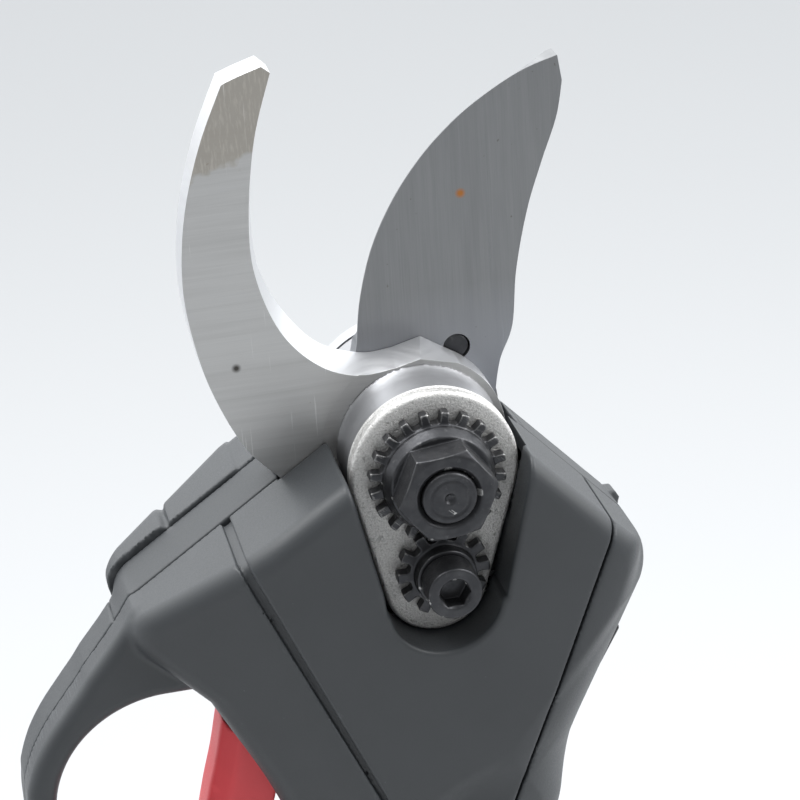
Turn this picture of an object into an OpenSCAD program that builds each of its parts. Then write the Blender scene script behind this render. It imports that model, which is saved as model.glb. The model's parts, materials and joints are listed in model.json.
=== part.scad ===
// Battery electric pruner.
// A geared motor in the grip turns a bevel pinion, and the pinion swings a toothed sector
// that carries the moving blade past a fixed hooked blade.
// Frame: the origin is on the pivot axis, in the plane where the two blades slide on each other.
// -Y is the side of the lock nut, +X the thumb side, +Z the blade tips. The grip hangs down along -Z.

/* [Blades] */
// Thickness of the fixed hooked blade
hook_thick = 6.5; // [6.3:0.1:6.5]
// Thickness of the moving blade
blade_thick = 4; // [3.9:0.05:4]
// Radius of the fixed blade's hub
hook_hub_r = 16.6; // [16:0.1:16.8]
// Radius of the moving blade's hub
blade_hub_r = 16.4; // [16:0.1:16.5]

/* [Pivot and lock] */
// Diameter of the pivot bolt
bolt_d = 10; // [9.8:0.1:10]
// Width across the flats of the lock nut
nut_flats = 16; // [15.5:0.25:16.5]
// Tip radius of the toothed flange on the lock nut
flange_tip_r = 12.65; // [12.5:0.05:12.7]
// Tip radius of the lock pinion
lock_pinion_tip_r = 8.65; // [8.5:0.05:8.7]
// Distance from the pivot axis down to the lock pinion's axis
lock_centre = 19.2; // [19.2:0.05:19.4]

/* [Gear train] */
// Height of the drive axis along Y
axis_y = -4.2; // [-4.25:0.01:-4.2]
// Module of the bevel pinion at its large end
bevel_module = 1.3; // [1.28:0.01:1.3]
// Module of the planetary gears
planet_module = 0.8; // [0.78:0.01:0.8]
// Face width of each planetary stage
planet_face = 7; // [6.5:0.25:7]

/* [Motor] */
// Diameter of the motor can
motor_d = 32; // [31:0.25:32]
// Length of the motor can
motor_len = 42; // [40:0.5:42]

/* [Handle] */
// Distance from the blade plane to the front face
front_face = 28; // [28:0.25:28.5]
// Distance from the blade plane to the rear face
rear_face = 19; // [18.75:0.25:19.5]
// Wall of the moulded shells
wall = 2.5; // [2.4:0.05:2.6]
// Radius of the finger guard's inner bend
guard_inner_r = 22.5; // [22:0.25:23]
// Straight length of the finger guard
guard_straight = 42; // [38:1:44]

/* [Battery] */
// Diameter of one battery cell
cell_d = 18.2; // [18:0.1:18.3]
// Length of one battery cell
cell_len = 65; // [64.5:0.1:65.2]

/* [Hidden] */
$fn = 48;
// Running clearance of every shaft in its hole, on the radius
run = 0.05;
// Gap between parts that only sit next to each other
gap = 0.05;

// Y stations, from the nut side to the back
seam_y = -6;
strip_y = 4;
plate_front_y = -19.9;
plate_back_y = -16;
hook_front_y = -hook_thick;
sector_back_y = 8;
washer_back_y = 8.85;
case_back_y = 12.2;

// Gear train counts and sizes
sector_full_teeth = 40;
bevel_teeth = 10;
sun_teeth = 12;
planet_teeth = 12;
ring_teeth = sun_teeth + 2 * planet_teeth;
orbit_r = planet_module * (sun_teeth + planet_teeth) / 2;
bevel_pitch_r = bevel_module * bevel_teeth / 2;
cone_r = bevel_module * sector_full_teeth / 2;
cone_inner_r = 20;
sector_r = 28.5;
sector_from = -153;
sector_to = -72;

// Z stations of the gear train, from the pinion down to the battery
bearing_top = -34;
bearing_h = 7;
carrier_2_top = -43.5;
stage_2_top = -47.5;
carrier_1_top = stage_2_top - planet_face - 0.5;
stage_1_top = carrier_1_top - 4;
motor_plate_top = stage_1_top - planet_face - 1;
motor_top = motor_plate_top - 3;
motor_bottom = motor_top - motor_len;
barrel_r = 19;
ring_r = 17;
case_split_z = -33;
rim_in = 29.4;
rim_out = 32.5;

// Handle outline, seen from the nut side
edge_r = 6;
grip_edge_r = 11;
grip_left = -26;
grip_right = 20;
grip_mid = (grip_left + grip_right) / 2;
body_mid_y = (rear_face - front_face) / 2;
grip_bottom = -150;
guard_centre = [-51.5, -63.5];
guard_w = 6;
guard_mid_y = -3;
trigger_pivot = [-34, -46];
thumb_centre = [33, -53.4];
thumb_tilt = 29.17;
// Shell screws as [x, z, y where the front boss starts, y where the rear boss ends]
shell_screw_at = [
    [-44, -27.5, -18.5, 12.5], [34, -29.5, -25, 16.5], [23.5, -50, -25, 16.5],
    [-17.5, -124, -25, 16.5], [11.5, -124, -25, 16.5]
];
recess_centre = [-1, -22];
recess_r = 10.5;

// Battery pack
pack_left = -33;
pack_right = 27;
pack_front = -27.5;
pack_rear = 18.5;
pack_top = grip_bottom - 0.3;
pack_wall = 2;
lid_h = 5;
pack_bottom = pack_top - lid_h - cell_len - 1.5 - pack_wall;
tongue_h = 12;

// ---------- helpers ----------

// Extrudes an outline drawn in X and Z from y0 to y1
module extrude_y(y0, y1) {
    translate([0, y1, 0]) rotate([90, 0, 0]) linear_extrude(y1 - y0) children();
}

// A round bar along Y at x, z
module bar_y(r, y0, y1, at = [0, 0]) {
    translate([at[0], y1, at[1]]) rotate([90, 0, 0]) cylinder(r = r, h = y1 - y0);
}

// A round bar along the drive axis
module bar_z(r, z0, z1, at = [0, 0]) {
    translate([at[0], axis_y + at[1], z0]) cylinder(r = r, h = z1 - z0);
}

// A tube along the drive axis
module tube_z(r_out, r_in, z0, z1) {
    difference() {
        bar_z(r_out, z0, z1);
        bar_z(r_in, z0 - 1, z1 + 1);
    }
}

// A block between two corners
module block(low, high) {
    translate(low) cube(high - low);
}

// A rectangle centred on the origin with round corners
module round_rect(w, h, r) {
    square([w - 2 * r, h], center = true);
    square([w, h - 2 * r], center = true);
    for (i = [-1, 1], j = [-1, 1])
        translate([i * (w / 2 - r), j * (h / 2 - r)]) circle(r);
}

// Two circles joined by their outer tangents, the second one at -Z of the first
module obround(r1, r2, c2) {
    d = norm(c2);
    lean = asin((r1 - r2) / d);
    turn = atan2(c2[1], c2[0]);
    circle(r1);
    translate(c2) circle(r2);
    polygon([
        for (s = [1, -1]) r1 * [cos(turn + s * (90 - lean)), sin(turn + s * (90 - lean))],
        for (s = [-1, 1]) c2 + r2 * [cos(turn + s * (90 - lean)), sin(turn + s * (90 - lean))]
    ]);
}

// A smooth curve through the knots, with a few steps between each pair
function curve(k, steps = 5) = [
    for (i = [0 : len(k) - 2], s = [0 : steps - 1])
        let (
            a = k[max(i - 1, 0)], b = k[i], c = k[i + 1], d = k[min(i + 2, len(k) - 1)],
            t = s / steps
        )
        0.5 * (2 * b + (c - a) * t + (2 * a - 5 * b + 4 * c - d) * t * t
            + (3 * b - a - 3 * c + d) * t * t * t),
    k[len(k) - 1]
];

// A round wire along a path, as one closed skin
function unit(v) = v / norm(v);
module wire(path, r, sides = 8) {
    n = len(path);
    rings = [
        for (i = [0 : n - 1])
            let (
                t = unit(path[min(i + 1, n - 1)] - path[max(i - 1, 0)]),
                u = unit(cross(t, [0.03, 1, 0.02])),
                v = cross(t, u)
            )
            for (s = [0 : sides - 1])
                path[i] + r * (cos(360 * s / sides) * u + sin(360 * s / sides) * v)
    ];
    skin = [
        for (i = [0 : n - 2], s = [0 : sides - 1])
            let (a = i * sides + s, b = i * sides + (s + 1) % sides)
            for (f = [[a, a + sides, b], [b, a + sides, b + sides]]) f
    ];
    first = [for (s = [0 : sides - 1]) s];
    last = [for (s = [sides - 1 : -1 : 0]) (n - 1) * sides + s];
    polyhedron(points = rings, faces = concat(skin, [first], [last]));
}

// ---------- gear teeth ----------

function degrees(x) = x * 180 / PI;
function involute(a) = degrees(tan(a)) - a;

// Half the angle of an involute tooth at radius q
function half_tooth(q, teeth, pitch_r, pressure, slack) =
    let (base = pitch_r * cos(pressure), a = q <= base ? 0 : acos(base / q))
    90 / teeth + involute(pressure) - involute(a) - degrees(slack / (2 * pitch_r));

// Points of an external gear. A negative slack makes the cutter for an internal one.
function gear_points(teeth, pitch_r, pressure, root, tip, slack, steps = 3) = [
    for (i = [0 : teeth - 1], side = [-1, 1], k = [0 : steps])
        let (
            q = root + (tip - root) * (side < 0 ? k : steps - k) / steps,
            a = 360 * i / teeth + side * half_tooth(q, teeth, pitch_r, pressure, slack)
        )
        q * [cos(a), sin(a)]
];

// One tooth of the bevel sector. It tapers towards the point where the two axes meet.
module sector_tooth(angle) {
    tip = bevel_pitch_r - 0.75;
    root = bevel_pitch_r + 2.6;
    slope = tan(20);
    half = PI * bevel_module / 4 - 0.07;
    ends = [cone_inner_r + 0.5, sector_r - 0.5];
    corners = [
        for (q = ends, h = [root, tip], side = [-1, 1])
            let (s = q / cone_r, w = (half + (h - bevel_pitch_r) * slope) * side * s)
            [q, w, axis_y + h * s]
    ];
    points = [
        for (c = corners)
            [c[0] * cos(angle) - c[1] * sin(angle), c[2], c[0] * sin(angle) + c[1] * cos(angle)]
    ];
    polyhedron(points = points, faces = [
        [0, 1, 3, 2], [4, 6, 7, 5], [0, 4, 5, 1], [2, 3, 7, 6], [0, 2, 6, 4], [1, 5, 7, 3]
    ]);
}

module planet_gear(angle, top) {
    color("dimgray")
    translate([orbit_r * cos(angle), axis_y + orbit_r * sin(angle), top - planet_face])
        rotate(angle + 180 / planet_teeth)
            linear_extrude(planet_face)
                difference() {
                    small_gear();
                    circle(1.5 + run);
                }
}

// The outline shared by the suns and planets
module small_gear() {
    pitch = planet_module * planet_teeth / 2;
    polygon(gear_points(planet_teeth, pitch, 25, pitch - 1.2 * planet_module,
        pitch + 0.95 * planet_module, 0.08));
}

module planet_pins(z0, z1) {
    for (a = [0, 120, 240])
        bar_z(1.5, z0, z1, orbit_r * [cos(a), sin(a)]);
}

// ---------- blades ----------

hook_inside = curve([[-21.9, 73.6], [-25.6, 62], [-27.7, 48], [-27.5, 37], [-23.9, 25.7],
    [-17.5, 18.1], [-10, 14.8], [-3.1, 15.2]]);
hook_inside_back = curve([[-21.5, 73], [-24.6, 62], [-26.3, 48], [-25.9, 36], [-21.8, 26.5],
    [-16.1, 19.6], [-8.5, 16.5], [-2.9, 16.6]]);
hook_outside = curve([[-26.2, -2.9], [-32, 4], [-37.1, 16], [-39.7, 27.7], [-40.4, 38],
    [-38.9, 50], [-35.3, 62], [-30.5, 72.6]]);
hook_tip = [[-27.7, 73.6], [-23.4, 74.9]];
hook_tang = [[0, 0], [-9, -13.5], [-19, -11.5]];

module hook_outline(inside) {
    polygon(concat(inside, hook_tang, hook_outside, hook_tip));
}

module fixed_blade() {
    color("silver")
    difference() {
        union() {
            extrude_y(hook_front_y, -gap) hook_outline(hook_inside);
            extrude_y(-1.5, -gap) hook_outline(hook_inside_back);
            bar_y(hook_hub_r, hook_front_y, -gap);
        }
        bar_y(bolt_d / 2 + run, hook_front_y - 1, 1);
    }
}

cutting_edge = curve([[-9, 17.9], [-7.8, 26.7], [-5, 36.4], [-0.6, 45], [4.8, 52.2],
    [10.6, 57.8], [16.3, 61.9], [23.8, 65.9], [30.7, 68]]);
blade_spine = curve([[31.4, 63.2], [30.1, 56.5], [27, 48.3], [24, 39.5], [21.5, 28.2],
    [20.3, 17.4], [17.6, 10.6], [13, 0]]);
drive_pin_at = [9.6, 14.7];
drive_pin_r = 2.3;

module moving_blade() {
    color("lightgray")
    difference() {
        union() {
            extrude_y(gap, blade_thick) polygon(concat(cutting_edge, blade_spine, [[0, 0]]));
            bar_y(blade_hub_r, gap, blade_thick);
        }
        bar_y(bush_r, -1, blade_thick + 1);
        bar_y(drive_pin_r, -1, blade_thick + 1, drive_pin_at);
    }
}

module drive_pin() {
    color("dimgray") bar_y(drive_pin_r, 0.4, sector_back_y, drive_pin_at);
}

bush_r = bolt_d / 2 + 1.6;

module pivot_bush() {
    color("goldenrod")
    difference() {
        bar_y(bush_r, gap, sector_back_y);
        bar_y(bolt_d / 2 + run, -1, sector_back_y + 1);
    }
}

module sector_gear() {
    root_in = axis_y + (bevel_pitch_r + 1.65) * cone_inner_r / cone_r;
    root_out = axis_y + (bevel_pitch_r + 1.65) * sector_r / cone_r;
    rim_front_y = blade_thick + 0.3;
    rim_back_y = sector_back_y - 0.2;
    color("slategray")
    difference() {
        union() {
            bar_y(17.9, blade_thick, sector_back_y);
            bar_y(5.2, blade_thick, sector_back_y, drive_pin_at);
            rotate([90, 0, 0]) rotate([0, 0, sector_from])
                rotate_extrude(angle = sector_to - sector_from)
                    polygon([[12, -rim_front_y], [19.2, -rim_front_y], [cone_inner_r, -root_in],
                        [sector_r, -root_out], [sector_r, -rim_back_y], [12, -rim_back_y]]);
            for (k = [-7 : 1]) sector_tooth(-90 + 4.5 + 9 * k);
        }
        bar_y(bush_r, -1, sector_back_y + 1);
        bar_y(drive_pin_r, -1, sector_back_y + 1, drive_pin_at);
    }
}

// ---------- pivot and lock ----------

module pivot_bolt() {
    color("dimgray") {
        bar_y(bolt_d / 2, -30.4, case_back_y + gap);
        bar_y(bolt_d / 2 - 0.65, -31.4, -30.4);
        extrude_y(case_back_y + gap, case_back_y + 3.6) circle(r = 9.2, $fn = 6);
    }
}

module thrust_washer() {
    color("goldenrod")
    difference() {
        bar_y(9, sector_back_y + gap, washer_back_y);
        bar_y(bolt_d / 2 + run, sector_back_y, washer_back_y + 1);
    }
}

lock_gear_back_y = plate_front_y - gap;
lock_gear_front_y = -22.35;

// A chamfered bar along Y: full radius at the back and a smaller one at the front
module chamfered_bar(r, front_r, y_front, y_cone, y_back) {
    rotate([90, 0, 0])
        rotate_extrude()
            polygon([[0, -y_back], [r, -y_back], [r, -y_cone], [front_r, -y_front], [0, -y_front]]);
}

module lock_nut() {
    pitch = lock_centre * 20 / 32;
    nut_front_y = -30.9;
    nut_back_y = -25.4;
    color([0.2, 0.21, 0.22])
    difference() {
        union() {
            extrude_y(lock_gear_front_y, lock_gear_back_y) rotate(9)
                polygon(gear_points(20, pitch, 20, lock_centre - lock_pinion_tip_r - 0.25,
                    flange_tip_r, 0.16));
            chamfered_bar(10.2, 9.3, nut_back_y, -23.2, -20.5);
            intersection() {
                extrude_y(nut_front_y, -24) rotate(6.3) circle(r = nut_flats / 2 / cos(30), $fn = 6);
                chamfered_bar(9.5, 7.8, nut_front_y, nut_front_y + 0.9, -24);
            }
        }
        bar_y(bolt_d / 2 + run, -32, -19);
        rotate([90, 0, 0]) rotate_extrude()
            polygon([[0, 29.9], [5.05, 29.9], [6, 30.95], [0, 30.95]]);
    }
}

lock_axis = [0, -lock_centre];

module lock_pinion() {
    pitch = lock_centre * 12 / 32;
    color([0.2, 0.21, 0.22])
    translate([0, 0, -lock_centre])
    difference() {
        union() {
            extrude_y(lock_gear_front_y, lock_gear_back_y)
                polygon(gear_points(12, pitch, 20, lock_centre - flange_tip_r - 0.25,
                    lock_pinion_tip_r, 0.16));
            bar_y(5.6, -25, -21);
        }
        bar_y(3 + run, -26, -19);
    }
}

module lock_screw() {
    color([0.22, 0.23, 0.24])
    translate([0, 0, -lock_centre])
    difference() {
        union() {
            bar_y(5, -31, -25 - gap);
            bar_y(3, -25.5, -13.9);
        }
        extrude_y(-31.5, -27.8) circle(r = 2.5 / cos(30), $fn = 6);
    }
}

module lock_plate() {
    color([0.75, 0.74, 0.72])
    difference() {
        extrude_y(plate_front_y, plate_back_y) obround(15.5, 9.6, [-0.9, -22.6]);
        bar_y(bolt_d / 2 + run, -21, -15);
        bar_y(3, -21, -15, lock_axis);
    }
}

// ---------- gear case ----------

casting_screw_at = [for (a = [-140, -112, -68, -40]) 32.2 * [cos(a), sin(a)]];

// Outline of the drive side of the casting, inside the two arms of the handle
module case_outline(r) {
    intersection() {
        circle(r);
        polygon([[0, 0], for (a = [-145, -110, -70, -35]) 60 * [cos(a), sin(a)]]);
    }
    for (p = casting_screw_at) translate(p) circle(3);
}

module nose_casting() {
    color([0.78, 0.79, 0.8])
    difference() {
        union() {
            extrude_y(plate_back_y, hook_front_y - gap) obround(14.6, 8.8, [-0.7, -22.6]);
            extrude_y(-9.5, hook_front_y - gap) intersection() {
                case_outline(rim_out);
                translate([-40, case_split_z + gap]) square([80, 50]);
            }
        }
        bar_y(bolt_d / 2 + run, -17, -5);
        bar_y(3, -17, -13.9, lock_axis);
        bar_z(8.6, case_split_z - 1, -18.4);
        for (p = casting_screw_at) bar_y(1.5, -10, -5, p);
    }
}

module casting_screws() {
    color("gray")
    for (p = casting_screw_at) {
        bar_y(2.7, -11.5, -9.5 - gap, p);
        bar_y(1.5, -10, 4, p);
    }
}

gearbox_ears = [for (a = [45, 135, 225, 315]) 20.5 * [cos(a), sin(a)]];

module gear_case() {
    color([0.6, 0.61, 0.62])
    difference() {
        union() {
            bar_y(17.9, washer_back_y, case_back_y);
            extrude_y(hook_front_y, case_back_y) case_outline(rim_out);
            bar_z(13, case_split_z - 3, -26);
            bar_z(barrel_r, motor_plate_top, case_split_z - 2);
            for (p = gearbox_ears) bar_z(2.4, motor_plate_top, case_split_z - 6, p);
        }
        // Room for the sector, open to the blades above
        bar_y(rim_in, hook_front_y - 20, washer_back_y);
        // Nothing stands in front of the blade plane above the bearing
        block([-45, -40, case_split_z], [45, hook_front_y, 30]);
        bar_z(8.6, case_split_z - 1, -18);
        bar_z(9.5, bearing_top - bearing_h, case_split_z + 20);
        bar_z(6.5, bearing_top - bearing_h - 3, case_split_z);
        bar_z(ring_r, motor_plate_top - 1, bearing_top - bearing_h - 2);
        bar_y(bolt_d / 2 + run, 8, 13);
        for (p = casting_screw_at) bar_y(1.5, -7, 4, p);
        for (p = gearbox_ears) bar_z(1.2, motor_plate_top - 1, motor_plate_top + 9, p);
    }
}

module gearbox_screws() {
    color("gray")
    for (p = gearbox_ears) {
        bar_z(2.1, motor_top - 2.2, motor_top - gap, p);
        bar_z(1.2, motor_top - 1, motor_plate_top + 9, p);
    }
}

module output_bearing() {
    color("silver") tube_z(9.5, 4 + run, bearing_top - bearing_h, bearing_top);
}

module ring_gear() {
    pitch = planet_module * ring_teeth / 2;
    color("darkgray")
    translate([0, axis_y, motor_plate_top])
        linear_extrude(stage_2_top - motor_plate_top)
            difference() {
                circle(ring_r);
                // The planets at 0, 120 and 240 degrees each face a tooth of the ring
                rotate(180 / ring_teeth) polygon(gear_points(ring_teeth, pitch, 25, pitch - 0.9 * planet_module,
                    pitch + 1.2 * planet_module, -0.08));
            }
}

module motor_plate() {
    color("silver")
    difference() {
        union() {
            bar_z(barrel_r, motor_top, motor_plate_top - gap);
            for (p = gearbox_ears) bar_z(2.4, motor_top, motor_plate_top - gap, p);
        }
        bar_z(5.1, motor_top - 1, motor_plate_top + 1);
        for (p = gearbox_ears) bar_z(1.2, motor_top - 1, motor_plate_top + 1, p);
    }
}

// ---------- gear train ----------

module bevel_pinion() {
    root = bevel_pitch_r - 1.05;
    color("dimgray")
    difference() {
        union() {
            translate([0, axis_y, -cone_r])
                linear_extrude(cone_r - cone_inner_r, scale = cone_inner_r / cone_r)
                    rotate(18)
                        polygon(gear_points(bevel_teeth, bevel_pitch_r, 20, root,
                            bevel_pitch_r + 1.25, 0.14));
            bar_z(5.2, -29, -cone_r);
        }
        bar_z(2.5, -30, -cone_inner_r + 1);
    }
}

module output_carrier() {
    color("gray") {
        bar_z(2.5, -29, -cone_inner_r);
        bar_z(4, carrier_2_top, -29);
        bar_z(13, carrier_2_top - 3.5, carrier_2_top);
        planet_pins(stage_2_top - planet_face, carrier_2_top - 1);
    }
}

module first_carrier() {
    color("gray") {
        translate([0, axis_y, carrier_1_top - 1])
            linear_extrude(planet_face + 1.3) small_gear();
        bar_z(13, carrier_1_top - 3.5, carrier_1_top);
        planet_pins(stage_1_top - planet_face, carrier_1_top - 1);
    }
}

module sun_gear() {
    color("goldenrod")
    translate([0, axis_y, stage_1_top - planet_face])
        linear_extrude(planet_face - 0.2)
            difference() {
                small_gear();
                circle(2);
            }
}

module planet_2a() { planet_gear(0, stage_2_top); }
module planet_2b() { planet_gear(120, stage_2_top); }
module planet_2c() { planet_gear(240, stage_2_top); }
module planet_1a() { planet_gear(0, stage_1_top); }
module planet_1b() { planet_gear(120, stage_1_top); }
module planet_1c() { planet_gear(240, stage_1_top); }

// ---------- motor ----------

motor_r = motor_d / 2;
stack_top = motor_top - 8;
stack_bottom = motor_bottom + 8;
rotor_r = 8.2;

module motor_can() {
    color("silver")
    difference() {
        union() {
            bar_z(motor_r, motor_bottom, motor_top - gap);
            bar_z(5, motor_top - 1, motor_top + 1.5);
        }
        bar_z(motor_r - 1, motor_bottom - 1, motor_top - 5.1);
        difference() {
            bar_z(motor_r - 1, motor_bottom - 1, motor_top - 2);
            bar_z(6.6, motor_top - 6, motor_top);
        }
        bar_z(5, motor_top - 6, motor_top - 2);
        bar_z(2 + 0.6, motor_top - 3, motor_top + 2);
    }
}

module motor_end_bell() {
    color("dimgray")
    difference() {
        union() {
            bar_z(motor_r, motor_bottom - 3, motor_bottom - gap);
            bar_z(6.5, motor_bottom - 1, motor_bottom + 3);
        }
        bar_z(5, motor_bottom, motor_bottom + 4);
        bar_z(2 + 0.6, motor_bottom - 4, motor_bottom + 1);
        for (a = [0 : 60 : 300])
            bar_z(1.6, motor_bottom - 4, motor_bottom + 0.5, 10.5 * [cos(a), sin(a)]);
    }
}

module motor_bearings() {
    color("silver") {
        tube_z(5, 2 + run, motor_top - 5, motor_top - 2);
        tube_z(5, 2 + run, motor_bottom, motor_bottom + 3);
    }
}

module stator_tooth(w, r_in, r_out) {
    for (a = [0 : 60 : 300]) rotate(a)
        translate([r_in, -w / 2]) square([r_out - r_in, w]);
}

module motor_stator() {
    color("gray")
    translate([0, axis_y, stack_bottom])
        linear_extrude(stack_top - stack_bottom)
            difference() {
                union() {
                    difference() {
                        circle(motor_r - 1.05);
                        circle(motor_r - 2.6);
                    }
                    stator_tooth(3.4, 9, motor_r - 2);
                    difference() {
                        circle(10);
                        circle(9);
                        for (a = [30 : 60 : 330]) rotate(a) translate([5, -0.8]) square([8, 1.6]);
                    }
                }
                circle(rotor_r + 0.35);
            }
}

// One coil round each stator tooth
module motor_windings() {
    color("peru")
    for (a = [0 : 60 : 300]) translate([0, axis_y, 0]) rotate(a)
        difference() {
            block([10.15, -3, stack_bottom - 2.6], [motor_r - 3.15, 3, stack_top + 2.6]);
            block([9, -1.75, stack_bottom - 0.05], [motor_r, 1.75, stack_top + 0.05]);
        }
}

module motor_shaft() {
    color("lightgray") bar_z(2, motor_bottom - 4.5, stage_1_top - 0.3);
}

module rotor_magnet() {
    color("dimgray") tube_z(rotor_r, 2, stack_bottom, stack_top);
}

// ---------- handle shells ----------

// Corner posts of the head, as [x, z, front face, rear face]
head_corners = [
    [-14.7, -2.5, -front_face, rear_face], [10.5, 0.8, -front_face, rear_face],
    [33.2, -23.7, -front_face, rear_face], [38.4, -31.5, -26, 18],
    [17.3, -69.3, -front_face, rear_face], [-25.3, -64.1, -25, 16],
    [-39.2, -37.4, -22.5, 15], [-50.7, -26.6, -19, 13]
];

// A round post along Y with its two end edges cut back
module post(x, z, y0, y1, r, cut) {
    bar_y(r, y0 + cut, y1 - cut, [x, z], $fn = 24);
    bar_y(r - cut, y0, y1, [x, z], $fn = 24);
}

// The grip's section across Z, or its inside when shrunk by the wall
module grip_section(shrink) {
    translate([grip_mid, body_mid_y])
        round_rect(grip_right - grip_left - 2 * shrink, front_face + rear_face - 2 * shrink,
            grip_edge_r - shrink);
}

module foot_section(shrink) {
    translate([(pack_left + pack_right) / 2, body_mid_y])
        round_rect(pack_right - pack_left - 2 * shrink, front_face + rear_face - 2 * shrink,
            edge_r - shrink);
}

// The handle's outside, or its inside when shrunk by the wall
module handle_body(shrink) {
    slice = 0.5;
    hull() for (c = head_corners)
        post(c[0], c[1], c[2] + shrink, c[3] - shrink, edge_r - shrink, 2.6);
    translate([0, 0, grip_bottom + 12])
        linear_extrude(-66 - grip_bottom - 12) grip_section(shrink);
    hull() {
        translate([0, 0, grip_bottom + 16]) linear_extrude(slice) grip_section(shrink, $fn = 24);
        translate([0, 0, grip_bottom + shrink]) linear_extrude(4) foot_section(shrink, $fn = 24);
    }
}

// The area inside a loop round the fingers, at radius r from the loop's bend centres
module loop_area(r) {
    low = guard_centre[1] - guard_straight;
    for (z = [guard_centre[1], low]) translate([guard_centre[0], z]) circle(r);
    translate([guard_centre[0] - r, low]) square([r, guard_straight]);
    translate([guard_centre[0], low - r])
        square([grip_left + 4 - guard_centre[0], guard_straight + 2 * r]);
}

// The closed loop that shields the fingers, in two layers so that its edges are cut back
module finger_guard() {
    for (layer = [[0, 8.7], [1.2, 10.5]])
        extrude_y(guard_mid_y - layer[1], guard_mid_y + layer[1]) difference() {
            loop_area(guard_inner_r + guard_w - layer[0]);
            loop_area(guard_inner_r + layer[0]);
        }
}

// The flesh that runs from the head out into the guard
module guard_root() {
    hull() {
        post(-49, -27.2, -18, 12, edge_r - 0.3, 2);
        post(-40, -40, -20, 12.5, edge_r - 0.3, 2);
        post(-67.3, -43.5, -13.2, 7.2, 2.7, 1.5);
        post(-71, -43.8, -13.2, 7.2, 2.7, 1.5);
    }
}

// The shell wall, cut open for everything that leaves the handle
module shell_skin() {
    difference() {
        union() {
            handle_body(0);
            finger_guard();
            difference() {
                guard_root();
                bar_y(guard_inner_r + 0.6, -30, 30, guard_centre);
            }
        }
        handle_body(wall);
        // Mouth for the blades and the nose
        block([-27, seam_y - 1, -10], [17.5, strip_y + 4.6, 20]);
        bar_y(18.4, seam_y - 1, rear_face + 1);
        // Slot for the trigger
        block([-50, -11.4, -76], [-26.5, 3.4, -41.5]);
        block([-44, -11.4, -50], [-28, 3.4, -38]);
        // Window for the display and hole for the power button
        on_thumb_face() {
            translate([-3, -8.1, -10.1]) cube([6, 16.2, 20.2]);
            translate([-6, 0, -14.8]) rotate([0, 90, 0]) cylinder(r = 3.2, h = 12);
        }
        // Opening for the battery's tongue
        block([-18.2, -16.2, grip_bottom - 1], [12.2, 8.2, grip_bottom + 8]);
        strip_seats(gap);
    }
}

// Places children on the sloping face under the thumb, +X pointing out of it
module on_thumb_face() {
    translate([thumb_centre[0], seam_y + 2, thumb_centre[1]])
        rotate([0, thumb_tilt, 0]) children();
}

// The two seats for the spine strips, as bars on the head's sloping sides
strip_depth = 3;
left_slope = [[-27.5, -3.7], [-57.3, -24.6]];
right_slope = [[19.5, -0.1], [39.2, -21.4]];

module slope_bar(ends, y0, y1, depth, lift, shrink) {
    along = unit(ends[1] - ends[0]);
    out = along[0] < 0 ? [along[1], -along[0]] : [-along[1], along[0]];
    a = ends[0] + along * shrink;
    b = ends[1] - along * shrink;
    extrude_y(y0, y1)
        polygon([a + out * lift, b + out * lift, b - out * depth, a - out * depth]);
}

module strip_seats(grow) {
    slope_bar(left_slope, seam_y - grow, strip_y + grow, strip_depth + grow, 6, -grow);
    slope_bar(right_slope, seam_y - grow, strip_y + grow, strip_depth + grow, 6, -grow);
}

// Outline of the centre panel on the front, between its two grooves
module panel_outline(grow) {
    polygon([
        [-36.2 - grow, 20], [-36.2 - grow, -9.4], [-5 - grow, -84], [3.9 + grow, -84],
        [31 + grow, -13], [31 + grow, 20]
    ]);
    translate([-0.55, -83.6]) circle(4.6 + grow);
}

// Outline of the recess round the lock plate
module recess_outline(grow) {
    polygon([[-18.1 - grow, 8], [-11.4 - grow, -23], [10.1 + grow, -23], [17.4 + grow, 8]]);
    translate(recess_centre) circle(recess_r + grow);
}

module near_half() {
    block([-120, -60, -160], [80, seam_y, 40]);
}

module front_shell() {
    color([0.27, 0.28, 0.29]) {
        difference() {
            intersection() {
                shell_skin();
                near_half();
            }
            extrude_y(-40, seam_y + 1) panel_outline(0.15);
        }
        difference() {
            for (p = shell_screw_at) bar_y(3.4, p[2] - 0.6, seam_y, p);
            for (p = shell_screw_at) bar_y(1.3, -16, seam_y + 1, p);
        }
    }
}

module front_cover() {
    color([0.26, 0.27, 0.28])
    difference() {
        intersection() {
            union() {
                difference() {
                    shell_skin();
                    extrude_y(-40, 0) recess_outline(0);
                }
                extrude_y(-front_face + 1, -17.6) intersection() {
                    difference() {
                        recess_outline(1.8);
                        recess_outline(0);
                    }
                    polygon([[-57, -24.6], [-19.5, 0.4], [15, 3.6], [39, -22], [39, -60], [-57, -60]]);
                }
            }
            near_half();
            extrude_y(-40, seam_y) panel_outline(0);
        }
        bar_y(17, -30, -5);
    }
}

module rear_shell() {
    color([0.25, 0.26, 0.27])
    difference() {
        union() {
            difference() {
                shell_skin();
                block([-120, -60, -160], [80, seam_y + gap, 40]);
            }
            for (p = shell_screw_at) bar_y(3.4, seam_y + gap, p[3] + 0.6, p);
        }
        for (p = shell_screw_at) {
            bar_y(1.7, seam_y - 1, rear_face + 1, p);
            bar_y(2.9, 8, rear_face + 1, p);
        }
    }
}

module left_spine_strip() {
    color([0.3, 0.31, 0.32])
        slope_bar(left_slope, seam_y, strip_y, strip_depth, 0.6, 0);
}

module right_spine_strip() {
    color([0.3, 0.31, 0.32])
        slope_bar(right_slope, seam_y, strip_y, strip_depth, 0.6, 0);
}

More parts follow.
